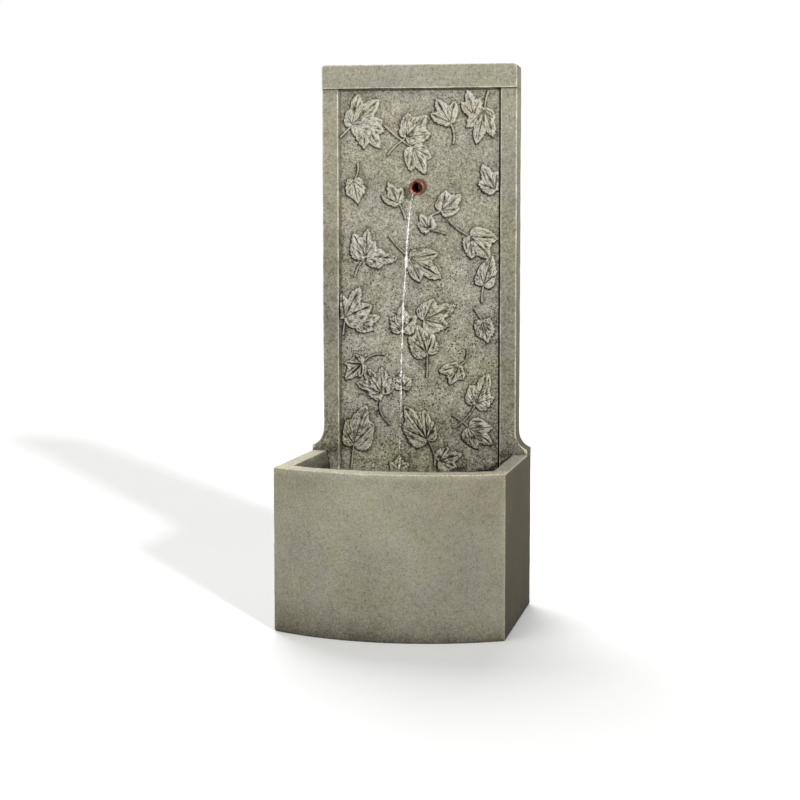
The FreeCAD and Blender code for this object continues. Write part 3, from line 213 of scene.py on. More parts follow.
def makeWorld(values):
    # dim light on the object, and white where the room is seen, mirrored or looked at through water
    world = bpy.data.worlds.new("paleRoom")
    scene.world = world
    world.use_nodes = True
    tree = world.node_tree
    tree.nodes.clear()
    path = node(tree, "ShaderNodeLightPath").outputs
    seen = calc("MAXIMUM", path["Is Camera Ray"], path["Is Glossy Ray"])
    seen = calc("MAXIMUM", seen, path["Is Transmission Ray"])
    room = {0: seen}
    for socket, level in ((1, values["worldLevel"]), (2, values["seenLevel"])):
        plain = {"Color": values["white"], "Strength": level}
        room[socket] = node(tree, "ShaderNodeBackground", plain).outputs[0]
    node(tree, "ShaderNodeOutputWorld", {0: fed("ShaderNodeMixShader", room)})


scene.view_settings.view_transform = "Standard"
makeCamera(camera)
for sunName, sun in studio["suns"].items():
    makeSun(sunName, *sun)
makeWorld(studio)
print("camera and lights")


# Small helpers for meshes


def addObject(name, mesh):
    made = bpy.data.objects.new(name, mesh)
    scene.collection.objects.link(made)
    return made


def mark(mesh, name, values):
    # a named value for each point, which the materials read
    layer = mesh.attributes.get(name) or mesh.attributes.new(name, "FLOAT", "POINT")
    layer.data.foreach_set("value", np.asarray(values, np.float32))


def meshFrom(name, points, faces, edges=(), **marks):
    mesh = bpy.data.meshes.new(name)
    mesh.from_pydata(np.asarray(points).tolist(), edges, [tuple(face) for face in faces])
    mesh.update()
    for key, values in marks.items():
        mark(mesh, key, values)
    return mesh


def facesOutwards(mesh):
    work = bmesh.new()
    work.from_mesh(mesh)
    bmesh.ops.recalc_face_normals(work, faces=work.faces)
    work.to_mesh(mesh)
    work.free()


def smooth(mesh, angle=None):
    mesh.shade_smooth()
    if angle is not None:
        mesh.set_sharp_from_angle(angle=math.radians(angle))


def applied(thing):
    # the object's mesh with its modifiers, as a plain mesh
    bpy.context.view_layer.update()
    graph = bpy.context.evaluated_depsgraph_get()
    mesh = bpy.data.meshes.new_from_object(thing.evaluated_get(graph))
    thing.modifiers.clear()
    thing.data = mesh
    return mesh


def growPiece(name, mesh, tree, values):
    # an object whose line grows into a body by Geometry Nodes; values are the tree's named inputs
    made = addObject(name, mesh)
    modifier = made.modifiers.new("grown", "NODES")
    modifier.node_group = tree
    for item in tree.interface.items_tree:
        if item.name in values:
            modifier[item.identifier] = values[item.name]
    facesOutwards(applied(made))
    return made


def carve(thing, tool, operation="DIFFERENCE"):
    # joins or cuts with another closed solid, which is then gone
    modifier = thing.modifiers.new("carve", "BOOLEAN")
    modifier.operation = operation
    modifier.solver = "EXACT"
    modifier.object = tool
    applied(thing)
    bpy.data.objects.remove(tool)


def ringFaces(rings, sides, joined=False):
    # quads from each ring of points to the next one, and from the last to the first if joined
    pairs = [(ring, (ring + 1) % rings) for ring in range(rings if joined else rings - 1)]
    return [(near * sides + i, near * sides + (i + 1) % sides, far * sides + (i + 1) % sides, far * sides + i)
            for near, far in pairs for i in range(sides)]


def solid(name, near, far):
    # a closed solid between two outlines with as many points
    count = len(near)
    caps = [range(count), range(2 * count - 1, count - 1, -1)]
    mesh = meshFrom(name, near + far, caps + ringFaces(2, count))
    facesOutwards(mesh)
    return addObject(name, mesh)


def prism(name, outline, nearY, farY):
    # a solid with this outline in X and Z, from nearY to farY
    return solid(name, [(x, nearY, z) for x, z in outline], [(x, farY, z) for x, z in outline])


def rod(name, start, end, radius, sides=48):
    # a plain round solid, used as a cutting tool
    spin = (Vector(end) - Vector(start)).normalized().to_track_quat("Z", "Y")
    turns = [2 * math.pi * i / sides for i in range(sides)]
    spokes = [spin @ Vector((radius * math.cos(turn), radius * math.sin(turn), 0)) for turn in turns]
    return solid(name, [Vector(start) + spoke for spoke in spokes], [Vector(end) + spoke for spoke in spokes])


def waves(points, size, seed, count=12):
    # an even random unevenness in about -1 to 1, whose hills are about size across
    draw = np.random.RandomState(seed)
    total = np.zeros(len(points))
    for _ in range(count):
        way = draw.normal(size=3)
        way *= draw.uniform(0.6, 1.5) * math.pi / size / np.linalg.norm(way)
        total += np.sin(points @ way + draw.uniform(0, 2 * math.pi))
    return total / math.sqrt(count)


def coordinates(mesh):
    flat = np.zeros(len(mesh.vertices) * 3)
    mesh.vertices.foreach_get("co", flat)
    return flat.reshape(-1, 3)


def normalsOf(mesh):
    flat = np.zeros(len(mesh.vertices) * 3)
    mesh.vertices.foreach_get("normal", flat)
    return flat.reshape(-1, 3)


def setCoordinates(mesh, points):
    mesh.vertices.foreach_set("co", points.astype(np.float32).ravel())
    mesh.update()


def finishPiece(thing, material, body, slot, *nodes):
    # material and body of a finished piece, and the nodes that it stands for; the slot is not used
    thing.data.materials.clear()
    thing.data.materials.append(material)
    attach(thing, body)
    if nodes:
        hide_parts(*nodes)
    return thing


# Cast stone: sponged olive-grey patina, fine sand, dark pits, wet and darker where it is low, patina in its
# hollows, and painted shade and highlight where the pieces mark them

stoneFinish = {
    "patchScale": 6,  # hills per metre
    "spongeScale": 42,
    "dabScale": 150,
    "sandScale": 330,
    "dustScale": 1100,
    "tones": (
        (0.00, (0.014, 0.012, 0.008)),
        (0.22, (0.075, 0.068, 0.048)),
        (0.50, (0.215, 0.203, 0.152)),
        (0.75, (0.318, 0.304, 0.236)),
        (1.00, (0.450, 0.436, 0.360)),
    ),
    "tints": (  # colour, hills per metre, and from where to where the hill's height brings it in
        ((0.90, 0.95, 0.80, 1), 11, 0.45, 0.70, 0.5),  # moss, and how strong it gets
        ((0.97, 0.985, 1.04, 1), 4.5, 0.46, 0.58, 1),  # slate
    ),
    "earth": (1.00, 0.88, 0.70, 1),
    # painted shade: the brown that the Shade input darkens towards
    "paintedShadeTint": (0.16, 0.13, 0.07, 1),
    "speck": (0.42, 0.38, 0.32, 1),
    "paleWearAndHighlight": (1.42, 1.38, 1.28, 1),  # where an edge is worn most, and the basin rim's painted highlight
    "pit": (0.030, 0.025, 0.016, 1),
    "holes": (230, 0.10, 0.24, 60, 2, 0.48, 0.60),  # cells per metre, their edge, and the patches with any
    "blots": (150, 0.20, 0.36, 27, 3, 0.42, 0.56),
    "arris": (0.925, 0.985, 1.7),  # from where to where the nearness of an arris wears it, and how much
    "shine": 0.25,
    "rough": (0.88, 0.55),  # dry and wet
}


def toned(value, stops):
    made = node(value.id_data, "ShaderNodeValToRGB", {"Fac": value})
    elements = made.color_ramp.elements
    while len(elements) < len(stops):
        elements.new(0.5)
    for element, (position, colour) in zip(elements, stops):
        element.position = position
        element.color = (*colour, 1)
    return made.outputs["Color"]


def pitted(place, perMetre, low, high, patchScale, detail, patchLow, patchHigh):
    # the middles of cells, where a patch allows them
    hole = scaled(cells(place, perMetre), low, high, 1.0, 0.0)
    return times(hole, scaled(noise(place, patchScale, detail), patchLow, patchHigh))


def makeStoneGroup(values):
    inputs = [("Place", "Vector")]
    inputs += [(name, "Float", 0.5) for name in ("Level", "Patch", "Sponge", "Grain", "Pits")]
    inputs += [(name, "Float", 0.0) for name in ("Crevice", "Worn", "Damp", "Shade")]
    outputs = (("Colour", "Color"), ("Roughness", "Float"), ("Height", "Float"))
    tree, given = newTree("stoneFinish", "ShaderNodeTree", inputs, outputs)
    place = given["Place"]
    sponge = noise(place, values["spongeScale"], 4, 0.6)
    dabs = noise(place, values["dabScale"], 3, 0.6)
    sand = noise(place, values["sandScale"], 3, 0.7)
    dust = noise(place, values["dustScale"], 2, 0.7)

    def centred(field, strength):
        return times(calc("SUBTRACT", field, 0.5), strength)

    tone = plus(given["Level"], centred(noise(place, values["patchScale"], 4), given["Patch"]))
    tone = plus(tone, centred(sponge, given["Sponge"]), centred(dabs, times(given["Sponge"], 2.4)))
    tone = plus(tone, centred(sand, given["Grain"]), centred(dust, times(given["Grain"], 0.5)))
    # Crevice darkens hollows: patina in some, painted shade in others
    tone = plus(tone, times(given["Worn"], 0.26), times(given["Crevice"], -0.55), times(given["Damp"], -0.22))
    colour = toned(tone, values["tones"])
    # worn edges turn pale, and so does the painted highlight on the basin rim's top
    colour = tinted(scaled(given["Worn"], 0.9, 1.7), colour, values["paleWearAndHighlight"])
    specks = calc("MULTIPLY", scaled(noise(place, 240, 2, 0.7), 0.54, 0.66), given["Grain"], clamp=True)
    colour = tinted(specks, colour, values["speck"])
    for tint, scale, low, high, strength in values["tints"]:
        colour = tinted(times(scaled(noise(place, scale), low, high), strength), colour, tint)
    earthy = times(scaled(noise(place, 23), 0.48, 0.7), plus(times(given["Damp"], 0.6), 0.25))
    colour = tinted(earthy, colour, values["earth"])
    pits = calc("MAXIMUM", pitted(place, *values["holes"]), pitted(place, *values["blots"]))
    pits = calc("MULTIPLY", pits, given["Pits"], clamp=True)
    colour = mixed(pits, colour, values["pit"])
    # painted shade, where a piece asks for it with the Shade input
    colour = tinted(given["Shade"], colour, values["paintedShadeTint"])
    roughness = scaled(times(given["Damp"], scaled(sponge, 0.35, 0.6)), 0, 1, *values["rough"])
    height = plus(times(sand, 0.45), times(dabs, 0.35), times(dust, 0.15), times(pits, -0.5))
    node(tree, "NodeGroupOutput", {"Colour": colour, "Roughness": roughness, "Height": height})
    return tree


stoneGroup = makeStoneGroup(stoneFinish)


def byHeight(place, stops):
    # a value that changes with the height over the ground, between (height, value) stops
    height = axisOf(place, "Z")
    value = None
    for (low, first), (high, second) in zip(stops, stops[1:]):
        if value:
            value = plus(value, scaled(height, low, high, 0.0, second - first))
        else:
            value = scaled(height, low, high, first, second)
    return value


def splashed(place):
    # wet and dirty at the panel's foot, most of all round the falling water
    near = scaled(calc("ABSOLUTE", axisOf(place, "X")), 0.02, 0.16, 1.0, 0.55)
    blotch = scaled(noise(place, 16, 4), 0.36, 0.62)
    return times(byHeight(place, ((0.34, 1.0), (0.52, 0.0))), near, blotch)


def darkerFoot(place):
    # the basin's foot is darker and a little glossier
    return byHeight(place, ((0.0, 0.5), (0.06, 0.0)))


def basinRightShade(place):
    # painted shade: the basin's right side is evenly darkened, a little more so low down, and its bow darkens
    # towards it
    across = axisOf(place, "X")
    side = scaled(across, basinHigh.x - 0.0022, basinHigh.x - 0.0008)
    side = times(side, byHeight(place, ((0.05, 0.97), (0.36, 0.91))))
    either = calc("MAXIMUM", side, scaled(across, -0.16, 0.20, 0.0, 0.27))
    return times(either, byHeight(place, ((rimZ - 0.004, 1.0), (rimZ - 0.002, 0.0))))


def slabRightShade(place):
    # painted shade: the back wall's right side is a little darker than its front, most of all low down
    return times(markOf(place, "side"), byHeight(place, ((0.45, 0.48), (0.95, 0.15))))


# Each stone's numbers for the group; levels and pits change with the height over the ground.

stones = {
    "wallStone": {
        "Patch": 0.30, "Sponge": 0.25, "grain": 0.65, "relief": 0.0012,
        "pits": ((0.0, 0.12), (1.25, 0.06)),
        "levels": ((0.35, 0.42), (0.80, 0.455), (1.25, 0.63)),
        "extra": {"Shade": slabRightShade},
    },
    "panelStone": {
        "Patch": 0.45, "Sponge": 0.46, "grain": 1.15, "relief": 0.0016,
        "pits": ((0.33, 1.20), (0.80, 1.00), (0.98, 0.40)),
        "levels": ((0.33, 0.63), (0.55, 0.64), (0.85, 0.64), (1.22, 0.72)),
        "extra": {"Damp": splashed},
    },
    "leafStone": {
        "Patch": 0.3, "Sponge": 0.35, "grain": 0.7, "relief": 0.0013,
        "pits": ((0.33, 1.60), (0.80, 1.20), (0.98, 0.50)),
        "levels": ((0.33, 0.61), (0.55, 0.68), (0.85, 0.76), (1.22, 0.91)),
        "extra": {"Damp": splashed},
    },
    "basinStone": {
        "Patch": 0.42, "Sponge": 0.12, "grain": 0.52, "relief": 0.0007,
        "pits": ((0.0, 0.03), (0.37, 0.05)),
        "levels": ((0.0, 0.43), (0.12, 0.475), (0.24, 0.56), (0.376, 0.52)),
        "extra": {"Damp": darkerFoot, "Shade": basinRightShade},
    },
}


def stoneMaterial(name, look):
    made, shader, place = newMaterial(name, Specular_IOR_Level=stoneFinish["shine"])
    low, high, most = stoneFinish["arris"]
    arris = scaled(markOf(place, "nearArris"), low, high, 0.0, most)
    arris = times(arris, scaled(noise(place, 26, 2), 0.35, 0.60, 0.55, 1.0))
    values = {
        "Place": place,
        "Patch": look["Patch"],
        "Sponge": look["Sponge"],
        "Grain": plus(markOf(place, "coarse"), look["grain"]),
        "Crevice": markOf(place, "crevice"),
        "Worn": calc("MAXIMUM", markOf(place, "worn"), arris),
        "Pits": byHeight(place, look["pits"]),
        "Level": byHeight(place, look["levels"]),
    }
    values.update({key: effect(place) for key, effect in look["extra"].items()})
    finish = node(shader.id_data, "ShaderNodeGroup", values, node_tree=stoneGroup).outputs
    roughness = finish["Roughness"] if "Damp" in look["extra"] else stoneFinish["rough"][0]
    surface(shader, finish["Colour"], roughness, finish["Height"], look["relief"])
    return made


stoneMaterials = {name: stoneMaterial(name, look) for name, look in stones.items()}
print("stone materials:", len(stoneMaterials))


# Floor

floorLook = {"half": 14, "colour": (0.92, 0.92, 0.91, 1), "paler": (0.94, 0.94, 0.935, 1)}


def makeFloor(values):
    half = values["half"]
    corners = [(-half, -half, 0), (half, -half, 0), (half, half, 0), (-half, half, 0)]
    floor = addObject("paleFloor", meshFrom("paleFloor", corners, [(0, 1, 2, 3)]))
    made, shader, place = newMaterial("paleFloor", Roughness=0.9, Specular_IOR_Level=0.1)
    colour = mixed(scaled(noise(place, 1.3, 2), 0.3, 0.7), values["colour"], values["paler"])
    shader.id_data.links.new(colour, shader.inputs["Base Color"])
    floor.data.materials.append(made)


makeFloor(floorLook)


# Back wall: rail, stiles and shoulders round a recess, and the tongue that stands in the basin

wall = {
    "half": 0.238,
    "shoulderHalf": 0.2667,
    "shoulderFoot": 0.374,  # 2 mm down in the rim, so that no gap shows
    "shoulderRise": 0.388,
    "shoulderRadius": 0.045,
    "top": 1.3081,
    "topCorner": 0.008,
    "railFoot": 1.2521,
    "railFront": 0.1509,
    "stileFront": 0.1559,
    "back": 0.2159,
    "tongueBack": 0.1909,
    "tongueHalf": (0.2290, 0.1858),  # at the rim and at the foot
    "tongueTop": 0.376,
    "tongueFoot": 0.114,
    "recessHalf": 0.199,
    "recessBack": 0.1637,
    "arris": 0.0019,
    "arrisAngle": 38,
    "cell": 0.017,
    "near": 0.0042,  # extra edges this far from every arris
    "uneven": 0.00035,
    "wear": 0.0004,
    "channelFace": 0.1729,
    "channelHalf": 0.012,
    "pocketHalf": 0.023,
    "pocket": (0.954, 1.044),
    "windowHalf": 0.023,
    "windowTop": 0.328,
    "spoutHeight": 1.018,
    "spoutBore": 0.0112,
    "clear": 0.05,  # how far the cutting tools reach past the stone
}


def wallOutline(values):
    # the right half from foot to top, then the left half back down
    radius = values["shoulderRadius"]
    drop = math.acos((values["half"] + radius - values["shoulderHalf"]) / radius)
    centre = (values["half"] + radius, values["shoulderRise"] + radius * math.sin(drop))
    half = [(values["shoulderHalf"], values["shoulderFoot"])]
    for i in range(13):
        angle = math.pi + drop * (1 - i / 12)
        half.append((centre[0] + radius * math.cos(angle), centre[1] + radius * math.sin(angle)))
    corner = values["topCorner"]
    for i in range(7):
        angle = math.pi / 2 * i / 6
        x = values["half"] - corner + corner * math.cos(angle)
        half.append((x, values["top"] - corner + corner * math.sin(angle)))
    return half + [(-x, z) for x, z in reversed(half)]


def slabbed(outline, low):
    # the part of an outline over this height, for the rail
    kept = [(x, z) for x, z in outline if z > low + 0.001]
    side = kept[0][0]
    return [(side, low)] + kept + [(-side, low)]


def boxed(half, low, high):
    return [(half, low), (half, high), (-half, high), (-half, low)]


def roundedArrises(thing, values):
    modifier = thing.modifiers.new("arris", "BEVEL")
    modifier.width = values["arris"]
    modifier.segments = 3
    modifier.limit_method = "ANGLE"
    modifier.angle_limit = math.radians(values["arrisAngle"])
    applied(thing)


def sliced(mesh, cuts):
    # extra edges in the faces where these planes pass, each given as (axis, place)
    work = bmesh.new()
    work.from_mesh(mesh)
    for axis, place in cuts:
        normal, point = Vector(), Vector()
        normal[axis], point[axis] = 1, place
        parts = work.verts[:] + work.edges[:] + work.faces[:]
        bmesh.ops.bisect_plane(work, geom=parts, plane_co=point, plane_no=normal, dist=1e-6)
    bmesh.ops.triangulate(work, faces=work.faces)
    work.to_mesh(mesh)
    work.free()


def wallCuts(values):
    near = values["near"]
    cuts = [(2, z) for z in np.arange(values["tongueFoot"] + 0.01, values["top"], values["cell"])]
    cuts += [(0, x) for x in np.arange(-values["half"] + 0.008, values["half"], values["cell"])]
    cuts += [(0, side * (values["recessHalf"] + near)) for side in (-1, 1)]
    cuts += [(0, side * (values["half"] - near)) for side in (-1, 1)]
    cuts += [(1, values["stileFront"] + near), (1, values["back"] - near)]
    return cuts + [(2, values["railFoot"] + near), (2, values["top"] - near)]


def makeWall(values):
    outline = wallOutline(values)
    made = prism("backWallStone", outline, values["stileFront"], values["back"])
    rail = slabbed(outline, values["railFoot"])
    carve(made, prism("rail", rail, values["railFront"], values["back"] - 0.02), "UNION")
    (high, low), top, foot = values["tongueHalf"], values["tongueTop"], values["tongueFoot"]
    tongue = [(high, top), (low, foot), (-low, foot), (-high, top)]
    carve(made, prism("tongue", tongue, values["stileFront"], values["tongueBack"]), "UNION")
    recess = boxed(values["recessHalf"], 0.05, values["railFoot"])
    carve(made, prism("recess", recess, 0.1, values["recessBack"]))
    roundedArrises(made, values)
    sliced(made.data, wallCuts(values))
    points = coordinates(made.data)
    sides = np.array(outline)
    sides[[0, -1], 1] = 0
    fromOutline = edgeDistance(points[:, [0, 2]], sides)
    fromArris = arrisDistance(points, values, fromOutline)
    lift = values["uneven"] * (waves(points, 0.05, 5) + 0.5 * waves(points, 0.017, 6))
    lift *= np.clip((points[:, 2] - 0.378) / 0.02, 0, 1)
    lift -= values["wear"] * np.exp(-(fromArris / 0.0026) ** 2) * np.clip(waves(points, 0.012, 7), 0, 1)
    moved = points + normalsOf(made.data) * lift[:, None]
    far = values["shoulderHalf"]
    setCoordinates(made.data, np.clip(moved, (-far, -far, 0), (far, values["back"], values["top"])))
    markWall(made.data, points, values, fromOutline, fromArris)
    hollowBack(made, values)
    return made


def edgeDistance(points, edge):
    # from each point to the closed outline, all in X and Z
    runs = np.roll(edge, -1, axis=0) - edge
    lengths = np.maximum((runs ** 2).sum(1), 1e-14)
    best = np.full(len(points), 1.0)
    for part in np.array_split(np.arange(len(points)), max(1, len(points) // 2000)):
        offset = points[part][:, None] - edge[None]
        share = np.clip((offset * runs).sum(2) / lengths, 0, 1)
        gap = offset - share[..., None] * runs
        best[part] = np.sqrt((gap ** 2).sum(2).min(1))
    return best


def frontAt(height, values):
    return np.where(height > values["railFoot"] - 0.001, values["railFront"], values["stileFront"])


def arrisDistance(points, values, fromOutline):
    # how far each point is from the nearest arris in front
    x, y, z = np.abs(points[:, 0]), points[:, 1], points[:, 2]
    fromFront = np.abs(y - frontAt(z, values))
    sides = np.hypot(fromOutline, fromFront)
    inner = np.where(z < values["railFoot"], np.hypot(np.abs(x - values["recessHalf"]), fromFront), 1)
    underRail = np.hypot(np.abs(z - values["railFoot"]), np.abs(y - values["railFront"]))
    top = np.hypot(np.abs(z - values["top"]), fromFront)
    return np.minimum(np.minimum(sides, inner), np.minimum(underRail, top))


def markWall(mesh, points, values, fromOutline, fromArris):
    x, y, z = points.T
    mark(mesh, "nearArris", np.clip(1 - fromArris / 0.05, 0, 1))
    mark(mesh, "crevice", paintedWallShade(points, values))
    mark(mesh, "coarse", 0.6 * np.clip((0.52 - z) / 0.12, 0, 1) * (y < values["recessBack"]))
    # the right side, which the material darkens as painted shade
    side = (fromOutline < 0.0012) & (y > frontAt(z, values) + 0.0015)
    mark(mesh, "side", side & (x > values["recessHalf"]) & (z < values["top"] - 0.002))


def paintedWallShade(points, values):
    # painted shadow under the rail, and painted shade in the groove, deepest along its right side away from
    # the light, and where the shoulders meet the rim
    x, y, z = points.T
    groove = np.where(x > 0.19, 0.9, 0.3) * np.clip((y - values["recessBack"] + 0.004) / 0.003, 0, 1)
    groove *= (np.abs(x) < values["recessHalf"] + 0.0005) & (z < values["railFoot"] + 0.0005)
    groove *= y < values["back"] - 0.03
    below = values["railFoot"] - z
    underRail = np.exp(-np.clip(below, 0, 1) / 0.004) * (below > -0.0005) * (y > values["railFront"] + 0.003)
    foot = 0.5 * np.exp(-np.abs(z - rimZ) / 0.006) * (y < values["stileFront"] + 0.03)
    return np.maximum(np.maximum(groove, 0.6 * underRail), foot)


def hollowBack(made, values):
    # the tube's channel, the pocket behind the spout, the tongue's window and the spout's hole
    far, face = values["back"] + values["clear"], values["channelFace"]
    low, high = values["pocket"]
    top = values["windowTop"]
    carve(made, prism("channel", boxed(values["channelHalf"], top - 0.01, low + 0.01), face, far))
    carve(made, prism("pocket", boxed(values["pocketHalf"], low, high), face, far))
    carve(made, prism("window", boxed(values["windowHalf"], 0.05, top), 0.1, far))
    height = values["spoutHeight"]
    carve(made, rod("spoutHole", (0, 0.1, height), (0, 0.2, height), values["spoutBore"]))


backWall = makeWall(wall)
smooth(backWall.data, 40)
finishPiece(backWall, stoneMaterials["wallStone"], "fountain", "cast_stone", "back_wall")
print("back wall:", len(backWall.data.vertices), "points")


# Leaves of the panel, in millimetres and degrees: a leaf's foot (x, height), its lobes (length, heading) from
# one side to the other, clockwise, the end of its stem (x, height, how far the stem bows), and how full the
# leaf is between its lobes and at its base.

leaves = (
    ((-165, 1166), ((34, 116), (77, 77), (92, 42), (78, 7)), (-197, 1136, 0.02), 0.55, 1.0),
    ((-135, 1168), ((53, -18), (71, -55), (59, -89)), None, 0.62, 0.9),
    ((-30, 1136), ((59, 87), (73, 46), (60, 7)), (-78, 1094, -0.05), 0.72, 0.7),
    ((-13, 1111), ((50, -28), (69, -65), (56, -98)), (-85, 1165, 0.04), 0.66, 0.85),
    ((76, 1170), ((53, 156), (67, 122), (53, 78)), (84, 1120, 0.1), 0.56, 0.5),
    ((133, 1188), ((42, 136), (61, 105), (43, 68)), None, 0.6, 0.6),
    ((160, 1200), ((28, -24), (67, -72), (83, -104), (60, -136)), (169, 1245, 0.05), 0.56, 0.6),
    ((-161, 1032), ((36, -38), (56, -78), (29, -131)), (-151, 1075, -0.1), 0.9, 1.0),
    ((-50, 979), ((45, 159), (55, 118), (40, 78)), (-33, 940, 0.05), 0.58, 0.6),
    ((56, 961), ((51, 78), (63, 39), (44, 5)), (28, 949, 0), 0.72, 0.8),
    ((26, 917), ((32, 160), (44, 123), (34, 84)), (68, 906, 0), 0.7, 1.0),
    ((186, 1011), ((44, 160), (69, 118), (44, 84)), None, 0.64, 0.8),
    ((126, 899), ((69, -3), (73, -46), (52, -87)), (72, 940, 0.06), 0.68, 0.8),
    ((159, 785), ((40, 108), (74, 74), (40, 40)), (155, 742, -0.05), 0.9, 1.0),
    ((-131, 850), ((65, 119), (67, 86), (46, 58)), (-159, 801, -0.08), 0.56, 1.0),
    ((-121, 850), ((36, 30), (69, -3), (36, -52)), (-169, 857, 0), 0.62, 1.0),
    ((-21, 846), ((71, 10), (90, -31), (62, -66)), (-74, 901, 0.04), 0.54, 0.6),
    ((-184, 701), ((60, 97), (85, 63), (77, 25)), (-189, 659, 0), 0.5, 1.0),
    ((-152, 691), ((34, 46), (59, 16), (43, -28)), None, 0.64, 1.0),
    ((-41, 673), ((42, 137), (63, 90), (51, 46)), None, 0.6, 1.0),
    ((14, 698), ((59, 66), (86, 26), (62, -12)), None, 0.54, 1.0),
    ((157, 696), ((36, -36), (53, -75), (36, -116)), (136, 728, 0), 0.9, 1.0),
    ((21, 619), ((59, 144), (72, 111), (49, 71)), (20, 559, 0), 0.78, 1.0),
    ((-142, 589), ((32, 265), (56, 223), (43, 177), (32, 129)), (-84, 614, 0.16), 0.62, 1.0),
    ((-91, 517), ((34, 188), (71, 158), (79, 126), (67, 93)), (-71, 442, -0.2), 0.5, 1.0),
    ((-41, 534), ((32, 136), (42, 90), (34, 43)), None, 0.66, 1.0),
    ((99, 588), ((36, 288), (51, 244), (51, 197)), (119, 629, -0.18), 0.66, 0.55),
    ((141, 498), ((47, 111), (81, 68), (47, 18)), (86, 437, 0.08), 0.56, 1.0),
    ((126, 438), ((57, 3), (69, -34), (54, -70)), (82, 469, -0.03), 0.6, 1.0),
    ((-163, 393), ((45, 123), (103, 71), (73, 44)), (-169, 334, 0), 0.76, 1.0),
    ((20, 409), ((67, 156), (99, 126), (70, 94), (43, 60)), (40, 344, 0.1), 0.78, 1.0),
    ((51, 357), ((41, 60), (60, 18), (46, -18)), None, 0.62, 1.0),
    ((-49, 331), ((31, 143), (38, 90), (32, 39)), None, 0.62, 1.0),
)

leafForm = {
    "spokes": 300,
    "rings": 25,
    "crowding": 1.6,  # the rings lie closer together towards the edge
    "groups": 3,
    "firstSeed": 100,
    "seedStep": 7,
    "draft": 0.0009,  # how far the sides spread out towards the panel
    "shadeDraft": 0.0017,  # and how much further at the lower left
    "litWay": (0.85, 0.53),
    "lift": 0.0011,  # how much each group of leaves lies over the one before
    "fieldHalf": 0.194,
    "fieldFoot": 0.318,
    "fieldTop": 1.2471,
    "face": 0.1619,
    "sunk": (0.0006, 0.0030),  # the sides' foot and the closed underside, behind the panel's face
    "least": 0.0012,
    "edgeRise": 0.0046,
    "rise": 0.0068,
    "swell": 0.0050,  # how far from the edge a leaf has most of its height
    "toothPitch": 0.0102,
    "toothDepth": 0.0034,
    "veinPitch": 0.0120,
    "veinTurn": 32,
    "veinDepth": 0.0012,
    "veinWidth": 0.0010,
    "ribDepth": 0.0028,
    "ribWidth": 0.0012,
    "puff": 0.0016,
    "lump": 0.0010,
    "lumpSize": 0.0075,
    "fold": 0.0020,  # folds along each lobe
    "foldSize": 0.0043,
    "foldLength": 3.2,
    "edgeRound": 0.0009,
}


def leafRadius(lobes, fullness, base, angles):
    # how far the leaf's edge is from its foot in each direction; angles are degrees, falling
    flank = ((16, 0.77), (40, 0.64 * base), (66, 0.50 * base), (97, 0.20 * base))

    def flankStops(lobe, way):
        # from beside a lobe's tip round to the leaf's foot
        length, turn = lobe
        stops = [(turn + way * aside, part * length * mm) for aside, part in flank]
        return stops + [(turn + way * 118, 0.0030)]

    stops = flankStops(lobes[0], 1)[::-1]
    for (length, turn), (nextLength, nextTurn) in zip(lobes, lobes[1:]):
        middle = (turn + nextTurn) / 2
        notch = (0.35 + 0.62 * fullness) * (length + nextLength) / 2
        spread = min(14, (turn - middle) * 0.74)
        stops += [(turn, length * mm), (turn - spread, max(0.77 * length, 0.98 * notch) * mm),
                  (middle, notch * mm), (nextTurn + spread, max(0.77 * nextLength, 0.98 * notch) * mm)]
    length, turn = lobes[-1]
    stops += [(turn, length * mm)] + flankStops(lobes[-1], -1)
    turns, radii = zip(*stops[::-1])
    return np.interp(angles, turns, radii)


def leafEdge(leaf, form, draw):
    # headings and lengths of the spokes that end on the leaf's toothed outline, clockwise
    foot, lobes = leaf[:2]
    middle = (lobes[0][1] + lobes[-1][1]) / 2
    fine = middle + np.linspace(180, -180, 1441)[:-1]
    radius = leafRadius(lobes, *leaf[3:], fine)
    for length, turn in lobes:
        aside = np.abs(fine - turn)
        radius = np.maximum(radius, length * mm * (1 - aside / 9) * (aside < 3))
    x = foot[0] * mm + radius * np.cos(np.radians(fine))
    z = foot[1] * mm + radius * np.sin(np.radians(fine))
    stepX, stepZ = np.gradient(x), np.gradient(z)
    steps = np.hypot(stepX, stepZ)
    run = np.cumsum(steps)
    phase = run / form["toothPitch"] + 0.35 * np.sin(run / 0.013 + draw.uniform(0, 6))
    wobble = 0.7 + 0.5 * np.sin(run / 0.021 + draw.uniform(0, 6))
    saw = phase - np.floor(phase) - 0.45
    tooth = form["toothDepth"] * wobble * saw * np.clip((radius - 0.008) / 0.012, 0, 1)
    x, z = x - foot[0] * mm - stepZ / steps * tooth, z - foot[1] * mm + stepX / steps * tooth
    turned = np.unwrap(np.arctan2(z, x))
    turned = np.minimum.accumulate(turned - 1e-5 * np.arange(len(turned)))
    share = np.cumsum(steps * (0.35 + 3 * radius)) + 0.00004 * np.arange(len(turned))
    picks = np.linspace(share[0], share[-1], form["spokes"] + 1)[:-1]
    return np.interp(picks, share, turned), np.interp(picks, share, np.hypot(z, x))


def nearestRib(offset, lobes, form):
    # along and beside the rib that is nearest to each point, and how deep in any rib it is
    rib, along, across = np.zeros(len(offset)), np.zeros(len(offset)), np.full(len(offset), 1.0)
    for length, turn in lobes:
        way = np.array((math.cos(math.radians(turn)), math.sin(math.radians(turn))))
        ahead = offset @ way
        aside = offset @ np.array((-way[1], way[0]))
        near = (np.abs(aside) < np.abs(across)) & (ahead > -0.002)
        across = np.where(near, aside, across)
        along = np.where(near, ahead, along)
        fade = np.clip((length * mm * 0.94 - ahead) / 0.012, 0, 1) * (ahead > 0)
        rib = np.maximum(rib, fade * np.exp(-(aside / (form["ribWidth"] * (0.6 + 0.5 * fade))) ** 2))
    return along, across, rib


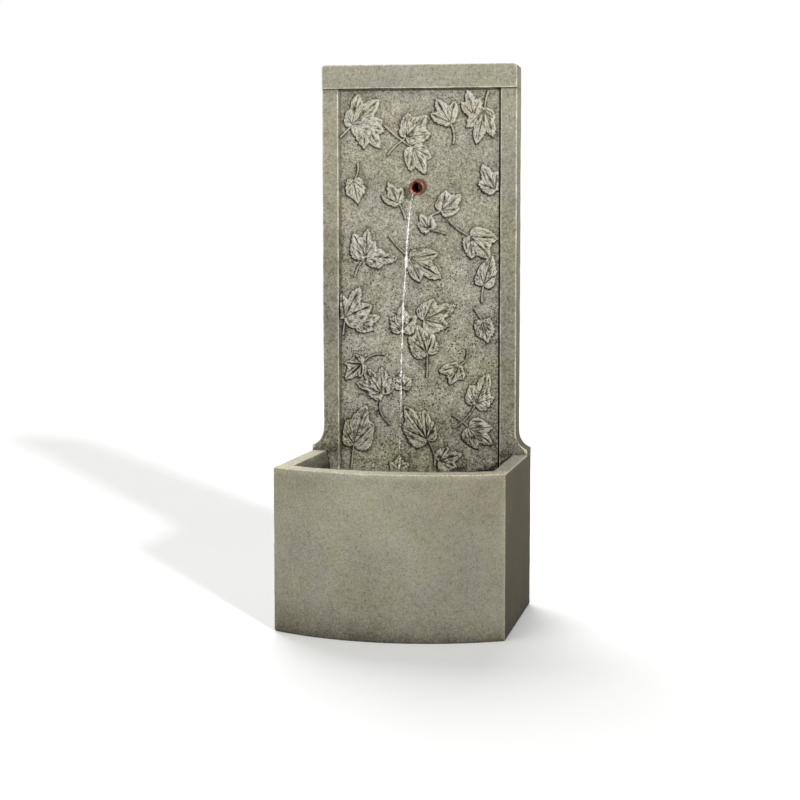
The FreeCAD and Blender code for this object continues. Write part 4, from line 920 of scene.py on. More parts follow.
def leafHeight(points, edge, leaf, form, seed):
    # how high each point of a leaf is over the panel's face, and how worn and hollow it is there
    inside = edgeDistance(points, edge)
    flat = np.column_stack((points[:, 0], np.zeros(len(points)), points[:, 1]))
    along, across, rib = nearestRib(points - np.array(leaf[0]) * mm, leaf[1], form)
    body = 1 - np.exp(-inside / form["swell"])
    turn = math.radians(form["veinTurn"])
    aside = np.abs(across)
    run = np.column_stack((along / form["foldLength"], across, np.zeros(len(points))))
    folds = waves(run, form["foldSize"], seed + 3)
    lumps = waves(flat, form["lumpSize"], seed)
    crooked = 0.45 * waves(flat, 0.016, seed + 2)
    phase = (along - aside / math.tan(turn)) / form["veinPitch"]
    phase += 0.18 * np.sin(along / 0.02 + seed) + crooked
    wrapped = phase - np.floor(phase)
    gap = np.minimum(wrapped, 1 - wrapped) * form["veinPitch"] * math.sin(turn)
    reach = np.clip((inside - 0.0012) / 0.003, 0, 1) * (along > 0.006)
    patchy = np.clip(0.6 + 0.8 * waves(flat, 0.013, seed + 4), 0, 1)
    vein = np.exp(-(gap / form["veinWidth"]) ** 2) * reach * np.clip(aside / 0.002, 0, 1) * patchy
    puff = np.sin(math.pi * wrapped) * np.clip(aside / 0.005, 0, 1) * reach
    height = form["edgeRise"] + (form["rise"] - form["edgeRise"]) * body
    height += form["puff"] * (puff - 0.4) * body - form["ribDepth"] * rib * body
    height += (form["lump"] * lumps + form["fold"] * folds) * body - form["veinDepth"] * vein
    height -= form["edgeRound"] * np.exp(-inside / 0.0012)
    margin = np.exp(-((inside - 0.0022) / 0.0016) ** 2)
    worn = 0.28 + 0.3 * puff - 0.9 * rib - 0.4 * vein + 0.35 * lumps + 0.5 * folds + 0.4 * margin
    low = np.clip(-folds - 0.5, 0, 1) * 0.9 + np.clip(-lumps - 0.7, 0, 1) * 0.6
    hollow = 0.9 * rib + 0.5 * vein + low * (1 - margin) + 0.8 * np.exp(-inside / 0.0006)
    worn = np.clip(worn, 0, 1) * np.clip(inside / 0.001, 0, 1)
    return np.maximum(height, form["least"]), worn, np.clip(hollow, 0, 1.3)


def onField(points, form):
    # none of the points past the panel's raised field
    return np.clip(points, (-form["fieldHalf"], form["fieldFoot"]), (form["fieldHalf"], form["fieldTop"]))


def atDepth(points, depth):
    # points in X and Z, at these depths in Y
    return np.column_stack((points[:, 0], np.broadcast_to(depth, len(points)), points[:, 1]))


def makeLeaf(leaf, form, seed, lift):
    # points, faces and marks of one closed leaf, and its outline
    foot = np.array(leaf[0]) * mm
    turned, away = leafEdge(leaf, form, np.random.RandomState(seed))
    spokes, face = form["spokes"], form["face"]
    rings = 1 - (1 - np.linspace(0.03, 1, form["rings"])) ** form["crowding"]
    ways = np.column_stack((np.cos(turned), np.sin(turned)))
    edge = foot + ways * away[:, None]
    free = (foot + ways[None] * (away[None] * rings[:, None])[..., None]).reshape(-1, 2)
    height, worn, hollow = leafHeight(free, edge, leaf, form, seed)
    height += lift
    runs = np.roll(edge, -1, axis=0) - np.roll(edge, 1, axis=0)
    outward = np.column_stack((-runs[:, 1], runs[:, 0])) / np.maximum(np.hypot(*runs.T), 1e-9)[:, None]
    # how much each edge faces away from the light: its draft spreads further there and its side gets more
    # painted shadow
    shadowSide = np.clip(outward @ -np.array(form["litWay"]), 0, 1)
    rim = onField(edge + outward * (form["draft"] + form["shadeDraft"] * shadowSide)[:, None], form)
    shallow, deep = face + form["sunk"][0], face + form["sunk"][1]
    middle = foot[None]
    points = np.vstack((
        atDepth(onField(free, form), face - height), atDepth(rim, shallow), atDepth(rim, deep),
        atDepth(middle, face - height[:spokes].mean()), atDepth(middle, deep)))
    count = len(rings) + 2
    centre, last = count * spokes, (count - 1) * spokes
    faces = ringFaces(count, spokes)
    faces += [(centre, (i + 1) % spokes, i) for i in range(spokes)]
    faces += [(centre + 1, last + i, last + (i + 1) % spokes) for i in range(spokes)]
    # the sides are dark all round, and darker away from the light as painted shadow
    side = 0.45 + 1.1 * shadowSide
    worn = np.concatenate((worn, np.zeros(2 * spokes), (0.2, 0)))
    hollow = np.concatenate((hollow, side, side, (0.9, 1.0)))
    return points, faces, worn, hollow, edge


def makeLeaves(form):
    # the leaves in groups, so that no mesh grows too large, and every outline for the panel's dirt and
    # painted shadow
    edges, made = [], []
    for group in range(form["groups"]):
        points, faces, worn, hollow = [], [], [], []
        for index in range(group, len(leaves), form["groups"]):
            seed = form["firstSeed"] + form["seedStep"] * index
            leaf = makeLeaf(leaves[index], form, seed, form["lift"] * group)
            start = sum(len(part) for part in points)
            points.append(leaf[0])
            faces += [tuple(corner + start for corner in face) for face in leaf[1]]
            worn.append(leaf[2])
            hollow.append(leaf[3])
            edges.append(leaf[4])
        name = "panelLeaves%d" % group
        marks = {"worn": np.concatenate(worn), "crevice": np.concatenate(hollow)}
        mesh = meshFrom(name, np.vstack(points), faces, **marks)
        facesOutwards(mesh)
        smooth(mesh, 70)
        made.append(finishPiece(addObject(name, mesh), stoneMaterials["leafStone"], "fountain", "cast_stone"))
    return made, edges


leafPieces, leafEdges = makeLeaves(leafForm)
print("leaves:", sum(len(piece.data.polygons) for piece in leafPieces), "faces")


# Stems: thin raised rods from each leaf's foot, grown along their lines by Geometry Nodes

stems = {
    "radius": 0.0025,
    "proud": 0.0012,  # the rod's axis in front of the panel's face
    "points": 13,
    "spacing": 0.002,
    "sides": 10,
    "uneven": (0.82, 1.18),
    "taper": (0.82, 1.12),
}


def stemLine(leaf, values, form):
    foot, end = np.array(leaf[0]) * mm, np.array(leaf[2][:2]) * mm
    run = end - foot
    share = np.linspace(-0.06, 1, values["points"])[:, None]
    side = np.array((-run[1], run[0])) * leaf[2][2]
    line = foot + run * share + side * np.sin(math.pi * np.clip(share, 0, 1))
    most = form["fieldHalf"] - 0.001
    line[:, 0] = np.clip(line[:, 0], -most, most)
    return atDepth(line, form["face"] - values["proud"])


def stemNodes(values, material):
    inputs = (("Geometry", "Geometry"), ("Rod radius", "Float"), ("Spacing", "Float"), ("Seed", "Int", 3))
    tree, given = newTree("stemRods", "GeometryNodeTree", inputs, (("Geometry", "Geometry"),))
    line = fed("GeometryNodeMeshToCurve", {"Mesh": given["Geometry"]})
    line = fed("GeometryNodeResampleCurve", {"Curve": line, "Length": given["Spacing"]}, mode="LENGTH")
    spot = node(tree, "GeometryNodeInputPosition").outputs[0]
    rough = {"Vector": spot, "W": given["Seed"], "Scale": 90.0, "Detail": 2.0}
    uneven = scaled(fed("ShaderNodeTexNoise", rough, noise_dimensions="4D"), 0.3, 0.7, *values["uneven"])
    share = node(tree, "GeometryNodeSplineParameter").outputs["Factor"]
    scale = times(uneven, scaled(share, 0.0, 1.0, *values["taper"]))
    ring = {"Resolution": values["sides"], "Radius": given["Rod radius"]}
    ring = fed("GeometryNodeCurvePrimitiveCircle", ring)
    rods = {"Curve": line, "Profile Curve": ring, "Scale": scale, "Fill Caps": True}
    rods = fed("GeometryNodeRealizeInstances", {"Geometry": fed("GeometryNodeCurveToMesh", rods)})
    rods = fed("GeometryNodeSetMaterial", {"Geometry": rods, "Material": material})
    node(tree, "NodeGroupOutput", {0: rods})
    return tree


def makeStems(values, form):
    lines = [stemLine(leaf, values, form) for leaf in leaves if leaf[2]]
    count = values["points"]
    starts = range(0, count * len(lines), count)
    edges = [(start + i, start + i + 1) for start in starts for i in range(count - 1)]
    mesh = meshFrom("leafStems", np.vstack(lines), [], edges)
    stone = stoneMaterials["leafStone"]
    given = {"Rod radius": values["radius"], "Spacing": values["spacing"]}
    made = growPiece("leafStems", mesh, stemNodes(values, stone), given)
    smooth(made.data, 60)
    depth = coordinates(made.data)[:, 1] - form["face"] + values["proud"]
    mark(made.data, "worn", np.zeros(len(depth)))
    mark(made.data, "crevice", np.clip((depth + 0.0020) / 0.0016, 0.16, 1) * 1.2)
    finishPiece(made, stone, "fountain", "cast_stone")
    return lines


stemLines = makeStems(stems, leafForm)
print("stems:", len(stemLines))


# Panel: the raised field behind the leaves, with dirt and painted shadow round every leaf and stem

panel = {
    "half": 0.194,
    "foot": 0.114,
    "fineFoot": 0.310,
    "top": 1.2471,
    "face": 0.1619,
    "back": 0.1699,
    "cell": 0.0020,
    "edge": 0.0016,
    "uneven": 0.00045,
    "haloNear": 0.0024,
    "haloDepth": 0.0006,
    "haloFar": 0.0100,
    "shadowShift": 0.0020,  # the dark ring round every edge, part dirt and part painted shadow, lies a little to the lower left of it
    "wetLine": 0.338,
}


def dirtAndShadowTree(edges, lines):
    # every leaf's edge and stem's line as closely set points, for the nearest one to be found
    spots = []
    for edge in edges:
        for share in (0, 1 / 3, 2 / 3):
            spots.append(edge * (1 - share) + np.roll(edge, -1, axis=0) * share)
    for line in lines:
        flat = line[:, [0, 2]]
        runs = np.gradient(flat, axis=0)
        beside = np.column_stack((-runs[:, 1], runs[:, 0])) / np.hypot(*runs.T)[:, None] * stems["radius"]
        for side in (flat - beside, flat + beside):
            for share in np.linspace(0, 1, 8)[:-1]:
                spots.append(side[:-1] * (1 - share) + side[1:] * share)
    spots = np.vstack(spots)
    tree = KDTree(len(spots))
    for index, (x, z) in enumerate(spots):
        tree.insert((x, 0, z), index)
    tree.balance()
    return tree


def gridLines(low, high, cell, edge):
    # even places from low to high, with closer ones at both ends for the rounded edges
    count = max(2, int(round((high - low - 2 * edge) / cell)))
    ends = np.array((0, 0.15, 0.45)) * edge
    return np.concatenate((low + ends, np.linspace(low + edge, high - edge, count + 1), high - ends[::-1]))


def panelDirtAndShade(flat, border, halo, nearest, values):
    # dark round the leaves, part dirt and part painted shadow to their lower left, and in the groove, and
    # darkest along the water, most of all to its right
    shade = 0.5 + 0.5 * np.clip(waves(flat, 0.035, 21), -1, 1)
    soft = (0.20 + 0.36 * shade) * np.exp(-nearest / values["haloFar"])
    foot = np.exp(-np.clip(flat[:, 2] - values["wetLine"], 0, 1) / 0.011)
    foot *= 0.25 + 0.5 * np.clip((flat[:, 0] - 0.02) / 0.06, 0, 1)
    hollow = np.maximum(halo, soft) + 0.42 * np.exp(-border / 0.009)
    return np.clip(hollow + foot * (1 + 0.4 * waves(flat, 0.012, 24)), 0, 1.1)


def makePanel(values, edges, lines):
    edge = values["edge"]
    across = gridLines(-values["half"], values["half"], values["cell"], edge)
    fine = gridLines(values["fineFoot"], values["top"], values["cell"], edge)[3:]
    upward = np.concatenate((np.linspace(values["foot"], values["fineFoot"], 12)[:-1], fine))
    columns, rows = len(across), len(upward)
    x, z = np.meshgrid(across, upward)
    flat = np.column_stack((x.ravel(), np.zeros(x.size), z.ravel()))
    tree = dirtAndShadowTree(edges, lines)
    # points moved up and to the right, so that the dark ring round each edge falls to its lower left as
    # painted shadow
    shadowSide = flat + np.array((values["shadowShift"], 0, values["shadowShift"]))
    nearest = np.array([tree.find(spot)[2] for spot in shadowSide])
    halo = 1.05 * np.exp(-(nearest / values["haloNear"]) ** 2)
    border = np.minimum(np.minimum(values["half"] - np.abs(flat[:, 0]), values["top"] - flat[:, 2]), 1)
    hollow = panelDirtAndShade(flat, border, halo, nearest, values)
    worn = 0.2 * np.exp(-((border - 0.0012) / 0.0012) ** 2)
    rolled = np.clip(1 - border / edge, 0, 1)
    uneven = values["uneven"] * (waves(flat, 0.030, 22) + 0.6 * waves(flat, 0.010, 23))
    drop = edge * (1 - np.sqrt(np.clip(1 - rolled ** 2, 0, 1)))
    flat[:, 1] = values["face"] + np.where(rolled > 0, 0, uneven) + drop + values["haloDepth"] * halo
    holes = (np.abs(x) < wall["windowHalf"]) & (z < wall["windowTop"])
    holes |= np.hypot(x, z - wall["spoutHeight"]) < wall["spoutBore"]
    starts = [j * columns + i for j in range(rows - 1) for i in range(columns - 1)
              if not holes[j:j + 2, i:i + 2].any()]
    faces = [(k, k + 1, k + columns + 1, k + columns) for k in starts]
    mesh = meshFrom("leafPanel", flat, faces, crevice=hollow, worn=worn)
    closePanel(mesh, values)
    smooth(mesh, 50)
    return finishPiece(addObject("leafPanel", mesh), stoneMaterials["panelStone"], "fountain", "cast_stone")


def closePanel(mesh, values):
    # sides from every free edge back into the wall, and a flat back
    work = bmesh.new()
    work.from_mesh(mesh)
    bmesh.ops.delete(work, geom=[v for v in work.verts if not v.link_faces], context="VERTS")
    rims = [e for e in work.edges if e.is_boundary]
    made = bmesh.ops.extrude_edge_only(work, edges=rims)["geom"]
    for vertex in (g for g in made if isinstance(g, bmesh.types.BMVert)):
        vertex.co.y = values["back"]
    rims = [g for g in made if isinstance(g, bmesh.types.BMEdge)]
    bmesh.ops.triangle_fill(work, use_beauty=False, use_dissolve=False, edges=rims, normal=(0, 1, 0))
    bmesh.ops.recalc_face_normals(work, faces=work.faces)
    work.to_mesh(mesh)
    work.free()


leafPanel = makePanel(panel, leafEdges, stemLines)
print("panel:", len(leafPanel.data.polygons), "faces")


# Basin: one casting with a bowed front, drafted inside, worn along its arrises, with a painted highlight on
# its rim's top

basin = {
    "half": 0.2667,
    "back": 0.2159,
    "front": -0.2159,
    "bow": 0.064,
    "corner": 0.004,
    "innerCorner": 0.012,
    "sideWall": 0.036,
    "frontWall": 0.052,
    "backWall": 0.024,
    "sideDraft": 0.044,
    "frontDraft": 0.084,
    "floor": 0.112,
    "footRound": 0.005,
    "floorRound": 0.010,
    "rimArris": 0.0034,
    "uneven": 0.0005,
    "counts": (61, 25, 37),  # points along the bow, each side and the back
    "cordHole": (0.011, 0.146),
    "drainHole": (0.012, -0.150, -0.020),
}


def bowRadius(values):
    return (values["half"] ** 2 + values["bow"] ** 2) / (2 * values["bow"])


def basinPlan(values, side, front, back, corner):
    # points round the basin's plan, this far inside its outer faces, always as many
    radius = bowRadius(values)
    half = values["half"] - side
    middle = values["front"] + front + radius
    cornerY = middle - math.sqrt(radius ** 2 - half ** 2)
    spread = math.asin(half / radius) - corner / radius
    far = values["back"] - back
    bowCount, sideCount, backCount = values["counts"]
    angles = np.linspace(-spread, spread, bowCount)
    sides = np.linspace(cornerY + corner, far - corner, sideCount)
    across = np.linspace(half - corner, -half + corner, backCount)
    runs = [
        np.column_stack((radius * np.sin(angles), middle - radius * np.cos(angles))),
        np.column_stack((np.full(sideCount, half), sides)),
        np.column_stack((across, np.full(backCount, far))),
        np.column_stack((np.full(sideCount, -half), sides[::-1])),
    ]
    corners = np.array(((half, cornerY), (half, far), (-half, far), (-half, cornerY)))
    plan = []
    for run, turn, following in zip(runs, corners, runs[1:] + runs[:1]):
        plan.append(run)
        for share in (0.2, 0.4, 0.6, 0.8):
            first = run[-1] * (1 - share) + turn * share
            second = turn * (1 - share) + following[0] * share
            plan.append((first * (1 - share) + second * share)[None])
    return np.vstack(plan)


def quarter(count):
    # sine and cosine of a quarter turn in this many steps
    return [(math.sin(math.pi / 2 * i / count), math.cos(math.pi / 2 * i / count)) for i in range(count + 1)]


def basinLayers(values):
    # from the underside's edge up the outside, over the rim and down to the floor:
    # how far in at the sides, the front and the back, the height, and whether it is inside
    foot, arris, curve = values["footRound"], values["rimArris"], values["floorRound"]
    walls = [values[key] for key in ("sideWall", "frontWall", "backWall")]
    drafts = [values["sideDraft"], values["frontDraft"], 0]
    layers = []
    for sine, cosine in quarter(4):
        inward = foot * (1 - sine)
        layers.append((inward, inward, 0, foot * (1 - cosine), False))
    for height in np.linspace(foot, rimZ - arris, 30)[1:]:
        layers.append((0, 0, 0, height, False))
    for sine, cosine in quarter(4)[1:]:
        inward = arris * (1 - cosine)
        layers.append((inward, inward, inward * 0.3, rimZ - arris * (1 - sine), False))
    for share in (0.15, 0.5, 0.85):
        layers.append((*[arris + share * (wide - 2 * arris) for wide in walls], rimZ, False))
    for sine, cosine in quarter(4):
        inward = [wide - arris * (1 - sine) for wide in walls]
        layers.append((*inward, rimZ - arris * (1 - cosine), True))
    for height in np.linspace(rimZ - arris, values["floor"] + curve, 24)[1:]:
        share = (rimZ - height) / (rimZ - values["floor"])
        layers.append((*[wide + draft * share for wide, draft in zip(walls, drafts)], height, True))
    for sine, cosine in quarter(5)[1:]:
        inward = [wide + draft + curve * (1 - cosine) for wide, draft in zip(walls, drafts)]
        layers.append((*inward, values["floor"] + curve * (1 - sine), True))
    return layers


def makeBasin(values):
    rings = []
    for side, front, back, height, within in basinLayers(values):
        plan = basinPlan(values, side, front, back, values["innerCorner"] if within else values["corner"])
        rings.append(np.column_stack((plan, np.full(len(plan), height))))
    mesh = meshFrom("basinStone", np.vstack(rings), ringFaces(len(rings), len(rings[0])))
    closeBasin(mesh)
    points = coordinates(mesh)
    low, high = np.clip(points[:, 2] / 0.01, 0, 1), np.clip((0.360 - points[:, 2]) / 0.02, 0, 1)
    calm = np.maximum(np.clip((0.150 - points[:, 1]) / 0.02, 0, 1), high) * low
    lift = values["uneven"] * (waves(points, 0.07, 31) + 0.5 * waves(points, 0.022, 32)) * calm
    worn = rimWearAndHighlight(points, values)
    chipped = -np.abs(lift) - values["uneven"] * np.clip(waves(points, 0.013, 33), 0, 1)
    lift = np.where(worn > 0.2, chipped, lift) * calm
    moved = points + normalsOf(mesh) * lift[:, None]
    half = values["half"]
    setCoordinates(mesh, np.clip(moved, (-half, values["front"], -1), (half, values["back"], 1)))
    mark(mesh, "worn", worn)
    mark(mesh, "crevice", basinHollows(points, values))
    mark(mesh, "coarse", 0.6 * np.maximum(insideBasin(points, values), points[:, 2] > rimZ - 0.003))
    made = addObject("basinStone", mesh)
    radius, height = values["cordHole"]
    carve(made, rod("cordHole", (0, 0.17, height), (0, 0.24, height), radius))
    radius, x, y = values["drainHole"]
    carve(made, rod("drainHole", (x, y, -0.05), (x, y, 0.2), radius))
    return made


def closeBasin(mesh):
    # the underside and the floor
    work = bmesh.new()
    work.from_mesh(mesh)
    for low, high in ((-0.001, 0.001), (0.05, 0.2)):
        rim = [e for e in work.edges if e.is_boundary and low < e.verts[0].co.z < high]
        bmesh.ops.triangle_fill(work, use_beauty=True, use_dissolve=False, edges=rim)
    bmesh.ops.recalc_face_normals(work, faces=work.faces)
    work.to_mesh(mesh)
    work.free()


def rimWearAndHighlight(points, values):
    # pale worn arrises and corners, and a painted highlight on the rim's top, most of all in front and to the
    # left
    x, y, z = points.T
    arris = np.exp(-(np.abs(z - rimZ + values["rimArris"] * 0.4) / (values["rimArris"] * 0.9)) ** 2)
    bowY = values["front"] + values["bow"] * (x / values["half"]) ** 2
    corner = np.hypot(np.abs(x) - values["half"], y - bowY)
    free = np.clip((0.156 - y) / 0.004, 0, 1)
    frontal = np.clip((bowY + values["frontWall"] + 0.004 - y) / 0.012, 0, 1)
    across = np.clip((0.2 - x) / 0.05, 0, 1)
    # painted highlight: the rim's top is lightened past any wear
    top = (z > rimZ - 0.001) * free * np.maximum(1.7 * frontal, 1.15 + 0.35 * across)
    edges = np.maximum(arris * free * 1.1, 1.1 * np.exp(-(corner / 0.0030) ** 2))
    edges *= 0.8 + 0.25 * waves(points, 0.03, 34)
    return np.maximum(edges, top * (0.95 + 0.08 * waves(points, 0.012, 35)))


def basinHollows(points, values):
    # dirt where water stands inside and a tide line at its edge; the whole inside is darker, and so is the
    # outside low down
    within, z = insideBasin(points, values), points[:, 2]
    low = 0.3 * np.clip((0.335 - z) / 0.02, 0, 1) * within
    tide = 0.5 * np.exp(-((z - 0.338) / 0.006) ** 2) * within
    ground = 0.30 * np.exp(-np.clip(z, 0, 1) / 0.012) * (1 - within)
    return np.clip(np.maximum(np.maximum(low, tide), ground) + 0.38 * within, 0, 1)


def insideBasin(points, values):
    x, y, z = points.T
    bow = (x / values["half"]) ** 2 * values["bow"]
    within = (np.abs(x) < values["half"] - 0.02) & (y > values["front"] + bow + 0.03)
    return (within & (y < values["back"] - 0.012) & (z < rimZ - 0.001) & (z > 0.05)).astype(float)


basinPiece = makeBasin(basin)
smooth(basinPiece.data, 45)
finishPiece(basinPiece, stoneMaterials["basinStone"], "fountain", "cast_stone", "basin")
print("basin:", len(basinPiece.data.polygons), "faces")


# Spout: a drawn copper pipe with a rolled, drooping mouth

spout = {
    "height": 1.018,
    "bend": 0.1579,
    "end": 0.1929,
    "nose": 0.028,
    "droop": 8,
    "radius": 0.011,
    "mouth": 0.018,
    "flare": 0.014,
    "bell": 1.5,  # how late the flare opens, outside and inside
    "throat": 3.6,
    "wall": 0.001,
    "lip": 0.0013,
    "sides": 96,
}


def noseOf(values):
    # where the pipe bends, and which way its nose points
    droop = math.radians(values["droop"])
    return Vector((0, values["bend"], values["height"])), Vector((0, -math.cos(droop), -math.sin(droop)))


def spoutRings(values, inner):
    # centre, direction and radius of each ring from the wall's side to the mouth
    radius = values["radius"] - (values["wall"] if inner else 0)
    bend, nose = noseOf(values)
    straight = Vector((0, -1, 0))
    start = Vector((0, values["end"], values["height"]))
    rings = [(start.lerp(bend, share), straight, radius) for share in (0, 0.25, 0.5, 0.75, 0.92)]
    for share in (0.0, 0.35, 0.7, 1.0):
        rings.append((bend + nose * (0.002 * share), straight.lerp(nose, share).normalized(), radius))
    flareStart = values["nose"] - values["flare"]
    rings += [(bend + nose * reach, nose, radius) for reach in (0.005, 0.009, flareStart)]
    late = values["throat"] if inner else values["bell"]
    for i in range(1, 15):
        share = i / 14
        swell = share ** late * (values["mouth"] - values["lip"] - values["radius"])
        reach = flareStart + share * (values["flare"] - values["lip"])
        rings.append((bend + nose * reach, nose, radius + swell))
    return rings


def lipRings(values):
    # the bead round the mouth, from outside to inside
    bend, nose = noseOf(values)
    lip = values["lip"]
    rings = []
    for i in range(11):
        angle = math.radians(200 - 31 * i)
        reach = values["nose"] - lip - lip * math.cos(angle)
        rings.append((bend + nose * reach, nose, values["mouth"] - lip + lip * math.sin(angle)))
    return rings


def makeSpout(values):
    outside, lip, inside = spoutRings(values, False), lipRings(values), spoutRings(values, True)[::-1]
    rings = outside[:-1] + lip + inside[1:]
    count, sides = len(rings), values["sides"]
    right = Vector((1, 0, 0))
    turns = [2 * math.pi * i / sides for i in range(sides)]
    points = []
    for centre, way, radius in rings:
        up = right.cross(way).normalized()
        points += [centre + right * radius * math.cos(turn) + up * radius * math.sin(turn) for turn in turns]
    # painted shade deep in the bore: the within mark darkens the copper more the further in it is
    depth = np.zeros(count)
    throat = len(outside) - 1 + len(lip)
    depth[throat:throat + 9] = np.linspace(0, 0.35, 9)
    depth[throat + 9:throat + 13] = np.linspace(0.45, 1, 4)
    depth[throat + 13:] = 1
    faces = ringFaces(count, sides, joined=True)
    mesh = meshFrom("spoutCopper", points, faces, within=np.repeat(depth, sides))
    facesOutwards(mesh)
    smooth(mesh)
    return addObject("spoutCopper", mesh)


copperLook = {
    "fresh": (0.40, 0.19, 0.150, 1),
    "dull": (0.20, 0.078, 0.058, 1),
    "dark": (0.07, 0.020, 0.013, 1),
    # painted shade in the pipe's bore
    "within": (0.055, 0.008, 0.005, 1),
    "relief": 0.0004,
}


def makeCopper(look):
    made, shader, place = newMaterial("spoutCopper", Metallic=1.0)
    cloudy, streaky, within = noise(place, 70, 4), noise(place, 420, 2), markOf(place, "within")
    colour = mixed(scaled(cloudy, 0.38, 0.62), look["dull"], look["fresh"])
    colour = mixed(scaled(streaky, 0.50, 0.72, 0.0, 0.75), colour, look["dark"])
    # painted shade inside the bore
    colour = mixed(within, colour, look["within"])
    roughness = plus(scaled(cloudy, 0.3, 0.7, 0.22, 0.42), times(within, 0.4))
    surface(shader, colour, roughness, plus(cloudy, times(streaky, 0.3)), look["relief"])
    return made


spoutPiece = makeSpout(spout)
finishPiece(spoutPiece, makeCopper(copperLook), "fountain", "copper", "spout_pipe")
print("spout:", len(spoutPiece.data.polygons), "faces")


# Water: the falling stream, its drops, and the pool

stream = {
    "speed": 0.374,  # metres a second at the lip
    "start": (-0.0042, 0.1315, 1.0015),
    "lead": ((0.0002, 0.020, 0.0055), (0, 0.010, 0.0036), (0, 0.004, 0.0022)),  # points before the start
    "aside": -0.0075,  # how far the stream drifts to the left on its way down
    "sway": ((0.0011, 0.075, 0.6), (0.0006, 0.024, 0)),
    "points": 90,
    "spacing": 0.0018,
    "sides": 14,
    "radius": 0.0026,
    "beat": 55.0,
    "seed": 11,
    "dropCount": 46,
    "dropSpread": 0.0042,
    "dropRadius": 0.0010,
}

pool = {
    "surface": 0.3335,
    "foot": 0.323,
    "behind": 0.004,  # how far it reaches in behind the panel's face
    "deep": 0.30,  # from front to back at the middle, for the number of rows
    "into": 0.002,
    "cell": 0.0030,
    "ripple": 0.0008,
    "length": 0.022,
}

waterLook = {
    "tint": (0.93, 0.95, 0.95, 1),
    "foam": (0.96, 0.97, 0.97, 1),
    "streamRelief": 0.0006,
    "pool": (0.50, 0.57, 0.50, 1),
    "murk": (0.62, 0.66, 0.56, 1),
    "poolRelief": 0.0009,
}


def makeStreamWater(look):
    constants = {"IOR": 1.33, "Specular_IOR_Level": 0.6, "Transmission_Weight": 0.8}
    made, shader, place = newMaterial("fallingWater", **constants)
    colour = mixed(scaled(noise(place, 60, 2), 0.35, 0.6), look["tint"], look["foam"])
    roughness = scaled(noise(place, 130, 3), 0.40, 0.62, 0.06, 0.35)
    surface(shader, colour, roughness, noise(place, 260, 2), look["streamRelief"])
    return made


def streamBody(line, share, given, values):
    # a thickness that beats along the fall, and looser the further it falls
    spot = node(line.id_data, "GeometryNodeInputPosition").outputs[0]
    rough = {"Vector": spot, "W": given["Seed"], "Scale": given["Beat"], "Detail": 2.0}
    beat = fed("ShaderNodeTexNoise", rough, noise_dimensions="4D")
    full = times(scaled(share, 0.04, 0.18, 0.25, 1.0), scaled(share, 0.42, 0.80, 1.0, 0.18))
    swing = scaled(beat, 0.42, 0.64, scaled(share, 0.0, 0.5, 0.40, 0.16), 1.25)
    ring = {"Resolution": values["sides"], "Radius": given["Stream radius"]}
    ring = fed("GeometryNodeCurvePrimitiveCircle", ring)
    body = {"Curve": line, "Profile Curve": ring, "Scale": times(full, swing), "Fill Caps": True}
    return fed("GeometryNodeCurveToMesh", body)


def streamDrops(line, given, values):
    # drops of random size, scattered round the line
    tree, spread, seed = line.id_data, given["Drop spread"], given["Seed"]
    spots = fed("GeometryNodeResampleCurve", {"Curve": line, "Count": given["Drops"]}, mode="COUNT")
    spots = fed("GeometryNodeCurveToPoints", {"Curve": spots}, mode="EVALUATED")
    most = fed("ShaderNodeCombineXYZ", {0: spread, 1: spread, 2: 0.012})
    least = fed("ShaderNodeVectorMath", {0: most, "Scale": -1.0}, operation="SCALE")
    jitter = {"Min": least, "Max": most, "Seed": seed}
    jitter = fed("FunctionNodeRandomValue", jitter, data_type="FLOAT_VECTOR")
    spots = fed("GeometryNodeSetPosition", {"Geometry": spots, "Offset": jitter})
    drop = {"Radius": values["dropRadius"], "Subdivisions": 2}
    drop = node(tree, "GeometryNodeMeshIcoSphere", drop).outputs[0]
    size = fed("FunctionNodeRandomValue", {2: 0.35, 3: 1.25, "Seed": seed}, 1, data_type="FLOAT")
    size = fed("ShaderNodeCombineXYZ", {0: size, 1: size, 2: times(size, 1.7)})
    return fed("GeometryNodeInstanceOnPoints", {"Points": spots, "Instance": drop, "Scale": size})


def streamNodes(values, material):
    inputs = (("Geometry", "Geometry"), ("Stream radius", "Float"), ("Beat", "Float"), ("Drops", "Int"),
              ("Drop spread", "Float"), ("Seed", "Int"))
    tree, given = newTree("fallingStream", "GeometryNodeTree", inputs, (("Geometry", "Geometry"),))
    line = fed("GeometryNodeMeshToCurve", {"Mesh": given["Geometry"]})
    line = fed("GeometryNodeResampleCurve", {"Curve": line, "Length": values["spacing"]}, mode="LENGTH")
    share = node(tree, "GeometryNodeSplineParameter").outputs["Factor"]
    body = streamBody(line, share, given, values)
    both = node(tree, "GeometryNodeJoinGeometry")
    for part in (streamDrops(line, given, values), body):
        tree.links.new(part, both.inputs[0])
    water = fed("GeometryNodeRealizeInstances", {"Geometry": both.outputs[0]})
    water = fed("GeometryNodeSetMaterial", {"Geometry": water, "Material": material})
    node(tree, "NodeGroupOutput", {0: water})
    return tree


def fallLine(values):
    # the path of water that leaves the lip level and falls free into the pool
    gravity = 9.81
    x, y, z = values["start"]
    drop = z - pool["surface"] + 0.004
    time = np.linspace(0, math.sqrt(2 * drop / gravity), values["points"])
    fallen = 0.5 * gravity * time ** 2
    sway = sum(size * np.sin(fallen / length + start) for size, length, start in values["sway"])
    drift = values["aside"] * (time / time[-1]) ** 0.35
    across = x + drift + sway * np.clip(fallen / 0.1, 0, 1)
    line = np.column_stack((across, y - values["speed"] * time, z - fallen))
    return np.vstack((np.array(values["lead"]) + values["start"], line))


